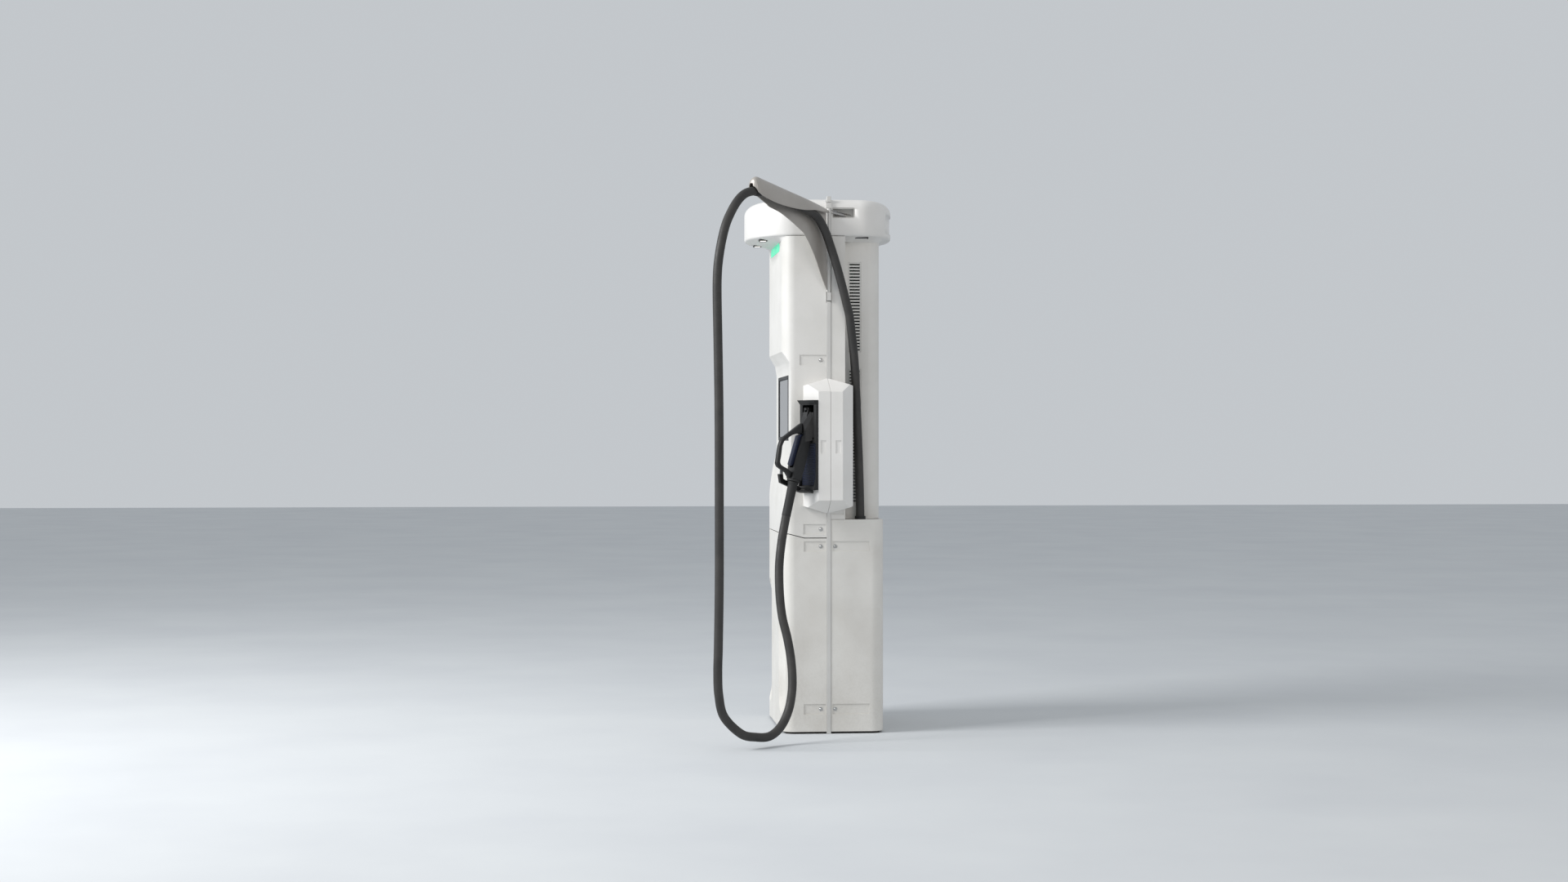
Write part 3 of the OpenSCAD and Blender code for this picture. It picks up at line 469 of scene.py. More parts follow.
def dress(obj: bpy.types.Object, slot: str, body: str, *nodes: str) -> bpy.types.Object:
    """Give a finished piece its finish, its body and the CAD nodes it stands for.

    Args:
        obj: Finished piece.
        slot: Material slot of the record.
        body: CAD body it moves with.
        *nodes: CAD nodes it replaces.

    Returns:
        The same object.
    """
    if not obj.data.materials:
        obj.data.materials.append(FINISHES[slot].material())
    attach(obj, body)
    if nodes:
        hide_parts(*nodes)
    log.info("%s rides on %s with %s", obj.name, body, slot)
    return obj


def body_of(node: str) -> str:
    """Name of the body that a CAD node belongs to."""
    return frame["nodes"][node]["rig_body"]


def catmull(points: Sequence[Vector], per_span: int) -> list[Vector]:
    """Smooth curve through points, as the CAD route is."""
    found: list[Vector] = []
    for i in range(len(points) - 1):
        a, b, c = points[max(i - 1, 0)], points[i], points[i + 1]
        d = points[min(i + 2, len(points) - 1)]
        for k in range(per_span):
            t = k / per_span
            found.append(0.5 * (2 * b + (c - a) * t + (2 * a - 5 * b + 4 * c - d) * t * t
                                + (3 * b - a - 3 * c + d) * t ** 3))
    return found + [points[-1].copy()]


def skin(rings: Sequence[Sequence[Vector]], closed: bool = True, caps: bool = True) -> tuple[list, list]:
    """Points and faces of a surface through rings of equal count.

    Args:
        rings: Rings of points in metres.
        closed: Whether each ring closes on itself.
        caps: Whether the first and last rings are closed by a face.

    Returns:
        Points and faces.
    """
    n = len(rings[0])
    points = [p for ring in rings for p in ring]
    faces: list[list[int]] = []
    for k in range(len(rings) - 1):
        for i in range(n if closed else n - 1):
            j = (i + 1) % n
            faces.append([k * n + i, k * n + j, (k + 1) * n + j, (k + 1) * n + i])
    if caps:
        faces.append(list(range(n))[::-1])
        faces.append([(len(rings) - 1) * n + i for i in range(n)])
    return points, faces


def sweep(path: Sequence[Vector], section: Callable[[float, float], tuple[float, float]], sides: int,
          side: Vector = Vector((1, 0, 0))) -> list[list[Vector]]:
    """Rings of a section carried along a path without twisting.

    Args:
        path: Centre line in metres.
        section: Gives the offsets in metres for a share of the path and an angle.
        sides: Points in a ring.
        side: Rough direction of the section's first axis.

    Returns:
        One ring for each point of the path.
    """
    rings, last = [], side
    for i, p in enumerate(path):
        ahead = (path[min(i + 1, len(path) - 1)] - path[max(i - 1, 0)]).normalized()
        last = (last - last.dot(ahead) * ahead).normalized()
        other = ahead.cross(last)
        share = i / (len(path) - 1)
        ring = []
        for k in range(sides):
            a, b = section(share, 2 * math.pi * k / sides)
            ring.append(p + a * last + b * other)
        rings.append(ring)
    return rings


def lathe(name: str, profile: Sequence[tuple[float, float]], sides: int, place: Matrix) -> bpy.types.Object:
    """Turned piece from (radius, height) points in millimetres.

    Args:
        name: Name of the piece.
        profile: Points from one end of the axis to the other.
        sides: Points round the axis.
        place: Where its axis goes, in metres.

    Returns:
        Closed, smooth object.
    """
    rings = [[place @ Vector((r * MM * math.cos(2 * math.pi * k / sides),
                              r * MM * math.sin(2 * math.pi * k / sides), h * MM))
              for k in range(sides)] for r, h in profile]
    made = mesh_object(name, *skin(rings))
    close_up(made)
    smooth(made, 35)
    return made


def prism(name: str, outline: Sequence[tuple[float, float]], s0: float, s1: float,
          place: Matrix) -> bpy.types.Object:
    """Closed outline in the (x, z) plane of a place, run along its y.

    Args:
        name: Name of the piece.
        outline: Points in millimetres.
        s0: Lowest y in millimetres.
        s1: Highest y in millimetres.
        place: Frame of the outline.

    Returns:
        New object.
    """
    rings = [[place @ Vector((q * MM, s * MM, z * MM)) for q, z in outline] for s in (s0, s1)]
    made = mesh_object(name, *skin(rings))
    close_up(made)
    return made


def block(name: str, low: tuple[float, float, float], high: tuple[float, float, float],
          round_mm: float = 0.0) -> bpy.types.Object:
    """Box between two corners in millimetres, with its edges rounded if asked.

    Args:
        name: Name of the piece.
        low: Lowest corner.
        high: Highest corner.
        round_mm: Width of the rounding.

    Returns:
        New object.
    """
    ring = [(low[0], low[1]), (high[0], low[1]), (high[0], high[1]), (low[0], high[1])]
    made = mesh_object(name, *skin([[Vector((x, y, z)) * MM for x, y in ring] for z in (low[2], high[2])]))
    close_up(made)
    return rounded(made, round_mm, 3) if round_mm else made


def cut_away(obj: bpy.types.Object, cutters: list[bpy.types.Object]) -> None:
    """Take each cutter's volume out of an object, and drop the cutters."""
    for cutter in cutters:
        cut = obj.modifiers.new("cut", "BOOLEAN")
        cut.operation = "DIFFERENCE"
        cut.solver = "EXACT"
        cut.object = cutter
    bake_modifiers(obj)
    for cutter in cutters:
        bpy.data.objects.remove(cutter)


# ---------------------------------------------------------------- repeats by Geometry Nodes


class Repeater:
    """A Geometry Nodes tree that puts one unit on every point of a host, turned as the point says."""

    def __init__(self) -> None:
        """Build the tree once."""
        tree = bpy.data.node_groups.new("repeat_unit_on_points", "GeometryNodeTree")
        face = tree.interface
        face.new_socket("Geometry", in_out="INPUT", socket_type="NodeSocketGeometry")
        self.unit = face.new_socket("Unit", in_out="INPUT", socket_type="NodeSocketObject").identifier
        self.size = face.new_socket("Size", in_out="INPUT", socket_type="NodeSocketFloat").identifier
        self.finish = face.new_socket("Finish", in_out="INPUT", socket_type="NodeSocketMaterial").identifier
        face.new_socket("Geometry", in_out="OUTPUT", socket_type="NodeSocketGeometry")
        given = add(tree, "NodeGroupInput").outputs
        shape = add(tree, "GeometryNodeObjectInfo", {"Object": given["Unit"]})
        turn = add(tree, "GeometryNodeInputNamedAttribute", {"Name": "turn"}, data_type="FLOAT_VECTOR")
        spin = add(tree, "FunctionNodeEulerToRotation", {0: turn.outputs[0]})
        scale = add(tree, "ShaderNodeCombineXYZ", {i: given["Size"] for i in range(3)})
        copies = add(tree, "GeometryNodeInstanceOnPoints", {
            "Points": given["Geometry"], "Instance": shape.outputs["Geometry"],
            "Rotation": spin.outputs[0], "Scale": scale.outputs[0],
        })
        real = add(tree, "GeometryNodeRealizeInstances", {0: copies.outputs[0]})
        done = add(tree, "GeometryNodeSetMaterial", {
            "Geometry": real.outputs[0], "Material": given["Finish"],
        })
        add(tree, "NodeGroupOutput", {0: done.outputs[0]})
        self.tree = tree

    def run(self, name: str, unit: bpy.types.Object, spots: Iterable[tuple[Vector, Euler]],
            slot: str, size: float = 1.0) -> bpy.types.Object:
        """Make one plain mesh of a unit repeated on spots.

        Args:
            name: Name of the piece.
            unit: Object to repeat, drawn about its own origin; it is removed after.
            spots: Place in metres and turn of each copy.
            slot: Material slot of the finish.
            size: Scale of each copy.

        Returns:
            The finished object.
        """
        spots = list(spots)
        host = mesh_object(name, [p for p, _ in spots], [])
        turns = host.data.attributes.new("turn", "FLOAT_VECTOR", "POINT")
        turns.data.foreach_set("vector", [c for _, e in spots for c in e])
        step = host.modifiers.new("repeat", "NODES")
        step.node_group = self.tree
        step[self.unit] = unit
        step[self.size] = size
        step[self.finish] = FINISHES[slot].material()
        bake_modifiers(host)
        bpy.data.objects.remove(unit)
        return host


# ---------------------------------------------------------------- studio


@dataclass
class Studio:
    """Camera, lights and a plain pale floor."""

    eye: tuple[float, float, float] = (8.94136, -0.98456, 1.09382)
    heading: float = 84.6056
    lens: float = 53.4375
    floor_size: float = 60.0
    floor_colour: str = "cfd2d4"

    def camera(self) -> None:
        """Level camera beside the post."""
        lens = bpy.data.cameras.new("camera")
        lens.lens = self.lens
        lens.sensor_width = 36.0
        lens.clip_end = 200.0
        made = bpy.data.objects.new("camera", lens)
        made.location = self.eye
        made.rotation_euler = (math.radians(90), 0.0, math.radians(self.heading))
        bpy.context.scene.collection.objects.link(made)
        bpy.context.scene.camera = made

    def floor(self) -> None:
        """Matt floor under the post."""
        half = self.floor_size / 2
        made = mesh_object("floor", [(-half, -half, 0), (half, -half, 0), (half, half, 0), (-half, half, 0)],
                           [(0, 1, 2, 3)])
        paint = Finish("matt_floor", self.floor_colour, "c9cccf", 0.85, grain=Grain.SMOOTH, cloud_mm=900.0)
        made.data.materials.append(paint.material())

    def lamp(self, name: str, at: tuple[float, float, float], size: float, watts: float, tint: str) -> None:
        """One square softbox that looks at the middle of the post."""
        light = bpy.data.lights.new(name, "AREA")
        light.size = size
        light.energy = watts
        light.color = linear(tint)[:3]
        made = bpy.data.objects.new(name, light)
        made.location = at
        made.rotation_euler = (Vector((0, 0, 1.0)) - Vector(at)).to_track_quat("-Z", "Y").to_euler()
        bpy.context.scene.collection.objects.link(made)

    def lights(self) -> None:
        """Pale dome, a key from ahead of the front, and a weak fill from the camera's side."""
        dome = bpy.data.worlds.new("dome")
        dome.use_nodes = True
        dome.node_tree.nodes["Background"].inputs[0].default_value = linear("eef3f8")
        dome.node_tree.nodes["Background"].inputs[1].default_value = 0.64
        bpy.context.scene.world = dome
        self.lamp("key", (2.0, -6.0, 4.5), 3.0, 470.0, "ffffff")
        self.lamp("fill", (7.0, 3.0, 3.5), 4.0, 60.0, "fff2e4")
        bpy.context.scene.view_settings.view_transform = "Standard"


# ---------------------------------------------------------------- cable


@dataclass
class ChargingCable:
    """The cable from the shelf's gland over the swing arm to the connector's boot."""

    diameter: float = 32.0
    sides: int = 28
    per_span: int = 12
    grip_point: tuple[float, float, float] = (632, -297, 1989)
    route: list[tuple[float, float, float]] = field(default_factory=lambda: [
        (252, 124, 812), (252, 122, 900), (254, 118, 1030), (264, 108, 1240), (280, 98, 1400),
        (303, 82, 1522), (314, 75, 1564), (322, 64, 1604), (330, 46, 1672), (336, 25, 1745),
        (343, 2, 1815), (357, -22, 1876),
        (389, -55, 1922), (431, -97, 1943), (476, -141, 1955), (526, -191, 1966), (591, -256, 1982),
        (632, -297, 1989), (664, -329, 1982), (687, -352, 1968), (711, -374, 1943), (735, -395, 1908),
        (759, -416, 1862), (778, -432, 1805), (791, -444, 1740), (797, -450, 1680), (798, -451, 1600),
        (795, -448, 1450), (791, -444, 1200),
        (790, -443, 900), (790, -443, 600), (790, -446, 380), (788, -448, 280), (782, -444, 200),
        (757, -424, 122), (728, -362, 58), (688, -306, 40), (643, -253, 37), (602, -210, 64),
        (569, -179, 116), (547, -164, 176), (530, -160, 236), (512, -164, 306), (496, -175, 376),
        (480, -192, 452), (464, -200, 536), (447, -200, 636), (430, -189, 728), (418, -171, 822),
    ])

    def __post_init__(self) -> None:
        """Smooth the route and find where the arm's last saddle grips it."""
        self.line = catmull([Vector(p) * MM for p in self.route], self.per_span)
        self.cut = self.route.index(self.grip_point) * self.per_span

    def tube(self, name: str, line: list[Vector]) -> bpy.types.Object:
        """Round tube with flat ends along a line."""
        r = self.diameter / 2 * MM
        rings = sweep(line, lambda share, a: (r * math.cos(a), r * math.sin(a)), self.sides)
        made = mesh_object(name, *skin(rings))
        close_up(made)
        smooth(made, 60)
        return made

    def build(self) -> None:
        """Two lengths that meet in the arm's last saddle, and the tapered boot."""
        riser_line, drop_line = self.line[: self.cut + 1], self.line[self.cut :]
        riser, drop = self.tube("cable_riser", riser_line), self.tube("cable_drop", drop_line)
        for piece in (riser, drop):
            piece.data.materials.append(FINISHES["cable_jacket"].material())
            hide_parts("charging_cable")
        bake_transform(riser)
        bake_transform(drop)
        boot = self.boot()

    def boot(self) -> bpy.types.Object:
        """Tapered strain relief between the cable's end and the connector's collar."""
        low, high = Vector(self.route[-1]) * MM, CONNECTOR.at(*CONNECTOR.collar_at)
        axis = high - low
        place = Matrix.Translation(low) @ axis.to_track_quat("Z", "Y").to_matrix().to_4x4()
        length = axis.length / MM - 1
        profile = [(0.0, -5.0), (16.3, -5.0), (16.7, -4.0)]
        profile += [(16.8 + 1.4 * (h / length) ** 3, h) for h in (0.0, 25.0, 50.0, 75.0, 95.0, 110.0)]
        profile += [(18.6, length - 8), (19.6, length - 6.5), (19.6, length - 0.5), (19.0, length),
                    (0.0, length)]
        made = lathe("cable_boot_taper", profile, 36, place)
        made.data.materials.append(FINISHES["boot_rubber"].material())
        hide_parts("cable_boot")
        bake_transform(made)
        return made


# ---------------------------------------------------------------- connector


@dataclass
class Connector:
    """Hand-held connector in its holster: q runs out of the holster, s across it, z up."""

    origin: tuple[float, float] = (363.0, -77.0)
    angle: float = -58.66
    collar_at: tuple[float, float] = (78.4, 942.9)

    @property
    def place(self) -> Matrix:
        """Frame of the holster in metres."""
        turn = Matrix.Rotation(math.radians(self.angle), 4, "Z")
        return Matrix.Translation(Vector((self.origin[0], self.origin[1], 0)) * MM) @ turn

    def at(self, q: float, z: float, s: float = 0.0) -> Vector:
        """Point of the holster frame, in metres of the post's frame."""
        return self.place @ Vector((q * MM, s * MM, z * MM))

    def shell(self) -> None:
        """Head, grip and hand guard, softly rounded all over."""
        for node, name, width, share in (("connector_housing", "connector_shell", 6.5, 0.12),
                                         ("connector_guard", "hand_guard", 5.0, 1.0)):
            made = cad_copy(node, name)
            weigh_edges(made, share, 12)
            rounded(made, width, 4, weighted=True)
            dress(made, "connector_black", "connector", node)

    def collar(self) -> bpy.types.Object:
        """Clamping nut at the tail."""
        q, z = self.collar_at
        tilt = (self.place @ Matrix.Translation(Vector((q, 0, z)) * MM)
                @ Matrix.Rotation(math.radians(-15), 4, "Y"))
        profile = [(0, 0), (22, 0), (24.4, 1), (25, 2.5), (25, 6.5), (24.4, 8), (22, 9), (0, 9)]
        made = lathe("tail_collar", profile, 48, tilt)
        return dress(made, "boot_rubber", "connector", "connector_collar")

    def build(self) -> None:
        """Every piece of the connector."""
        self.shell()
        self.collar()
        for node, width in (("connector_nose", 2.0), ("trigger", 2.0), ("latch_hook", 1.0)):
            made = cad_copy(node)
            rounded(made, width, 2)
            dress(made, SLOT_OF[node], body_of(node), node)


# ---------------------------------------------------------------- cabinet


@dataclass
class Cabinet:
    """Covers, seam strips, vents and screws of the body."""

    cover_edge: float = 2.4
    pocket_share: float = 0.5
    pocket_depth: float = 3.0
    vent_banks: tuple[tuple[float, int], ...] = ((862.0, 42), (1432.0, 28))
    vent_pitch: float = 11.9
    screw_spots: tuple[tuple[float, float], ...] = (
        (-30, 1396), (-30, 764), (-30, 700), (-30, 92), (24, 700), (24, 92), (24, 838))

    def covers(self) -> None:
        """The four body covers with soft edges."""
        for node in ("lower_front_door", "upper_front_shell", "rear_base_shell", "upper_rear_shell"):
            made = cad_copy(node)
            weigh_edges(made, self.pocket_share)
            rounded(made, self.cover_edge, 3, weighted=True)
            made.data.materials.append((LOW_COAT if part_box(node)[0].z < 0.1 else COAT).material())
            dress(made, "cover_white", "root", node)

    def strips(self) -> None:
        """Aluminium strips over the seams."""
        for node in ("left_seam_strip", "right_seam_strip", "top_seam_strip"):
            made = cad_copy(node)
            rounded(made, 1.2, 2)
            dress(made, "strip_aluminium", "root", node)

    def vents(self) -> None:
        """Sloping slats between a frame's two stiles, on both sides of the rear column."""
        low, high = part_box("vent_grilles")
        reach = high.x
        y0, y1 = low.y + 4 * MM, high.y - 4 * MM
        profile = [(-1.6, -3.4), (0.4, -3.0), (1.6, 1.6), (1.2, 3.2), (-0.8, 2.6), (-1.9, -1.8)]
        unit = mesh_object("slat", *skin([[Vector((x * MM, y, z * MM)) for x, z in profile]
                                          for y in (-(y1 - y0) / 2 - MM, (y1 - y0) / 2 + MM)]))
        close_up(unit)
        smooth(unit, 30)
        spots = []
        for side in (-1, 1):
            turn = Euler((0, 0, 0 if side > 0 else math.pi))
            for start, count in self.vent_banks:
                for i in range(count + 1):
                    z = (start + self.vent_pitch * i) * MM
                    spots.append((Vector((side * (reach - 2.0 * MM), (y0 + y1) / 2, z)), turn))
        # The greyer grille white is painted shade on the recessed slats
        slats = REPEATER.run("vent_slats", unit, spots, "grille_white")
        dress(slats, "grille_white", "root", "vent_grilles")
        bars = []
        for side in (-1, 1):
            for start, count in self.vent_banks:
                for y in (low.y + 2 * MM, high.y - 2 * MM):
                    z0, z1 = (start - 2.5) * MM, (start + 2.5 + self.vent_pitch * count) * MM
                    bars.append((side * (reach - 1.5 * MM), y, z0, z1))
        points, faces = [], []
        for x, y, z0, z1 in bars:
            ring = [(x - 1.5 * MM, y - 2 * MM), (x + 1.5 * MM, y - 2 * MM), (x + 1.5 * MM, y + 2 * MM),
                    (x - 1.5 * MM, y + 2 * MM)]
            more, quads = skin([[Vector((a, b, z)) for a, b in ring] for z in (z0, z1)])
            faces += [[i + len(points) for i in q] for q in quads]
            points += more
        stiles = mesh_object("vent_stiles", points, faces)
        close_up(stiles)
        rounded(stiles, 0.8, 2)
        dress(stiles, "grille_white", "root", "vent_grilles")

    def screws(self) -> None:
        """Hex-socket button screws in their pockets, with a thin washer each."""
        profile = [(0, 1.2), (2.3, 1.2), (2.5, 2.8), (4.2, 2.7), (5.6, 1.6), (6.0, 0.4), (6.0, 0.3),
                   (8.0, 0.3), (8.0, -0.4), (0, -0.4)]
        unit = lathe("screw", profile, 24, Matrix.Identity(4))
        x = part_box("lower_front_door")[1].x - self.pocket_depth * MM
        spots = []
        for side in (-1, 1):
            for y, z in self.screw_spots:
                spots.append((Vector((side * x, y * MM, z * MM)), Euler((0, side * math.pi / 2, 0))))
        made = REPEATER.run("cover_screws", unit, spots, "screw_steel")
        dress(made, "screw_steel", "root", "panel_screws")

    def build(self) -> None:
        """Every piece of the cabinet's outside."""
        self.covers()
        self.strips()
        self.vents()
        self.screws()


# ---------------------------------------------------------------- heads


@dataclass
class HeadCover:
    """One head cover: half-ellipse plan, domed top edge, and an underside that coves to the body."""

    node: str
    straight: float
    reach: float
    direction: int
    body_plan: Callable[[float, float], bool]
    half: float = 300.0
    low: float = 1860.0
    high: float = 2000.0
    top_round: tuple[float, float] = (46.0, 40.0)
    low_round: float = 9.0
    cove: float = 17.0
    band: float = 0.0
    around: int = 112

    def outline(self, inset: float, z: float, band: float = 0.0) -> list[Vector]:
        """Ring of the plan at a height, inset all round and by a band's depth across the end."""
        hw, reach = self.half - inset, self.reach - inset
        ring = [Vector((hw, self.direction * 8.5, z)) * MM]
        for i in range(self.around + 1):
            a = math.pi * i / self.around
            deep = band if abs(hw * math.cos(a)) < 200 else 0.0
            ring.append(Vector((hw * math.cos(a), self.direction
                                * (self.straight + (reach - self.straight) * math.sin(a) - deep), z)) * MM)
        ring.append(Vector((-hw, self.direction * 8.5, z)) * MM)
        return ring

    def body_ring(self, outer: list[Vector]) -> list[Vector]:
        """Where a line from the middle to each outer point leaves the body's plan."""
        middle = Vector((0, self.direction * 9.0, 0)) * MM
        ring = []
        for p in outer:
            near, far = 0.0, 1.0
            for _ in range(24):
                half = (near + far) / 2
                spot = middle.lerp(Vector((p.x, p.y, 0)), half)
                if self.body_plan(spot.x / MM, spot.y / MM):
                    near = half
                else:
                    far = half
            ring.append(middle.lerp(Vector((p.x, p.y, 0)), near))
        return ring

    def build(self) -> bpy.types.Object:
        """Outer skin from the body up over the edge to the top."""
        rings = []
        edge = self.outline(self.low_round, self.low)
        body = self.body_ring(edge)
        for k in range(8):
            s = 1 - k / 8
            fall = self.cove * s ** 1.25
            rings.append([Vector((e.x + (b.x - e.x) * s, e.y + (b.y - e.y) * s, (self.low - fall) * MM))
                          for e, b in zip(edge, body)])
        for k in range(6):
            a = math.pi / 2 * k / 5
            rings.append(self.outline(self.low_round * (1 - math.sin(a)),
                                      self.low + self.low_round * (1 - math.cos(a))))
        across, tall = self.top_round
        if self.band:
            steps = ((1881.0, 0), (1882.5, self.band), (1919.0, self.band), (1947.5, self.band), (1949.0, 0))
            rings += [self.outline(0, z, deep) for z, deep in steps]
        for k in range(9):
            a = math.pi / 2 * k / 8
            rings.append(self.outline(across * (1 - math.cos(a)), self.high - tall * (1 - math.sin(a))))
        for inset in (90.0, 160.0, 230.0):
            rings.append(self.outline(inset, self.high))
        points, faces = skin(rings, closed=False, caps=False)
        n = len(rings[0])
        faces.append([(len(rings) - 1) * n + i for i in range(n)])
        made = mesh_object(self.node + "_shell", points, faces)
        close_up(made, 2e-5)
        wall = made.modifiers.new("wall", "SOLIDIFY")
        wall.thickness = 4.0 * MM
        wall.offset = -1.0
        bake_modifiers(made)
        if self.direction > 0:
            cut_away(made, [block("tail_slot", (292, 12, 1927), (306, 98, 1966), 5.0)])
        smooth(made, 40)
        return dress(made, "head_white", "root", self.node)


@dataclass
class Heads:
    """Both head covers with their lamps and the lit strip on the front."""

    front_lamps: tuple[tuple[float, float], ...] = ((-130.0, -232.0), (130.0, -232.0))
    rear_lamps: tuple[tuple[float, float], ...] = ((-262.0, 128.0), (262.0, 128.0))
    lamp: tuple[float, float] = (44.0, 24.0)

    @staticmethod
    def front_plan(x: float, y: float) -> bool:
        """Whether a point is inside the front shell's plan."""
        dx, dy = max(abs(x) - (300 - 48), 0), max(-y - (174 - 48), 0)
        return math.hypot(dx, dy) <= 48

    @staticmethod
    def rear_plan(x: float, y: float) -> bool:
        """Whether a point is inside the upper rear shell's plan."""
        dx, dy = max(abs(x) - (226 - 50), 0), max(y - (204 - 50), 0)
        return math.hypot(dx, dy) <= 50 or (abs(x) <= 300 and y <= 61)

    def oblong(self, name: str, at: tuple[float, float], size: tuple[float, float], z0: float, z1: float,
               hollow: float = 0.0) -> bpy.types.Object:
        """Block with round ends under a head, or a rim if hollow."""
        def ring(inset: float, z: float) -> list[Vector]:
            w, h, r = size[0] / 2 - inset, size[1] / 2 - inset, 8.0 - inset
            found = []
            for k in range(32):
                a = 2 * math.pi * k / 32
                found.append(Vector((at[0] + math.copysign(w - r, math.cos(a)) + r * math.cos(a),
                                     at[1] + math.copysign(h - r, math.sin(a)) + r * math.sin(a), z)) * MM)
            return found
        if hollow:
            rings = [ring(0, z1), ring(0, z0 + 0.6), ring(0.6, z0), ring(hollow - 0.6, z0),
                     ring(hollow, z0 + 0.6), ring(hollow, z1), ring(0, z1)]
            made = mesh_object(name, *skin(rings, caps=False))
        else:
            made = mesh_object(name, *skin([ring(0, z1), ring(0, z0 + 1), ring(1, z0)]))
        close_up(made)
        smooth(made, 40)
        return made

    def tail_pocket(self) -> None:
        """Shallow liner behind the slot that the arm's tail swings through."""
        made = block("tail_pocket", (268, 10.5, 1925.5), (297, 99.5, 1967.5), 5.5)
        bm = bmesh.new()
        bm.from_mesh(made.data)
        mouth = [f for f in bm.faces if f.calc_center_median().x > 296.9 * MM]
        bmesh.ops.delete(bm, geom=mouth, context="FACES")
        bmesh.ops.reverse_faces(bm, faces=bm.faces)
        bm.to_mesh(made.data)
        bm.free()
        # The greyer grille white paints the shade inside the tail slot
        dress(made, "grille_white", "root")

    def build(self) -> None:
        """Covers, lamps and strip."""
        HeadCover("front_head_cover", 125.0, 292.0, -1, self.front_plan).build()
        HeadCover("rear_head_cover", 115.0, 268.0, 1, self.rear_plan, band=5.0).build()
        self.tail_pocket()
        lenses, rims = [], []
        for i, at in enumerate(self.front_lamps):
            lenses.append(self.oblong(f"lens_{i}", at, self.lamp, 1853.5, 1866))
            rims.append(self.oblong(f"rim_{i}", at, (self.lamp[0] + 8, self.lamp[1] + 8), 1852.0, 1866, 3.8))
        for i, at in enumerate(self.rear_lamps):
            size = (self.lamp[1], self.lamp[0])
            lenses.append(self.oblong(f"lens_r{i}", at, size, 1855.0, 1866))
            rims.append(self.oblong(f"rim_r{i}", at, (size[0] + 6, size[1] + 6), 1853.5, 1866, 2.8))
        dress(joined("head_lamp_lenses", lenses), "lamp_lens", "root", "head_lamps")
        dress(joined("head_lamp_rims", rims), "bezel_black", "root")
        strip = cad_copy("light_strip")
        rounded(strip, 0.9, 2)
        dress(strip, "strip_light", "root", "light_strip")


def joined(name: str, parts: list[bpy.types.Object]) -> bpy.types.Object:
    """Join plain meshes into one object."""
    bm = bmesh.new()
    for part in parts:
        bm.from_mesh(part.data)
        bpy.data.objects.remove(part)
    mesh = bpy.data.meshes.new(name)
    bm.to_mesh(mesh)
    bm.free()
    made = bpy.data.objects.new(name, mesh)
    bpy.context.scene.collection.objects.link(made)
    smooth(made, 40)
    return made


# ---------------------------------------------------------------- swing arm


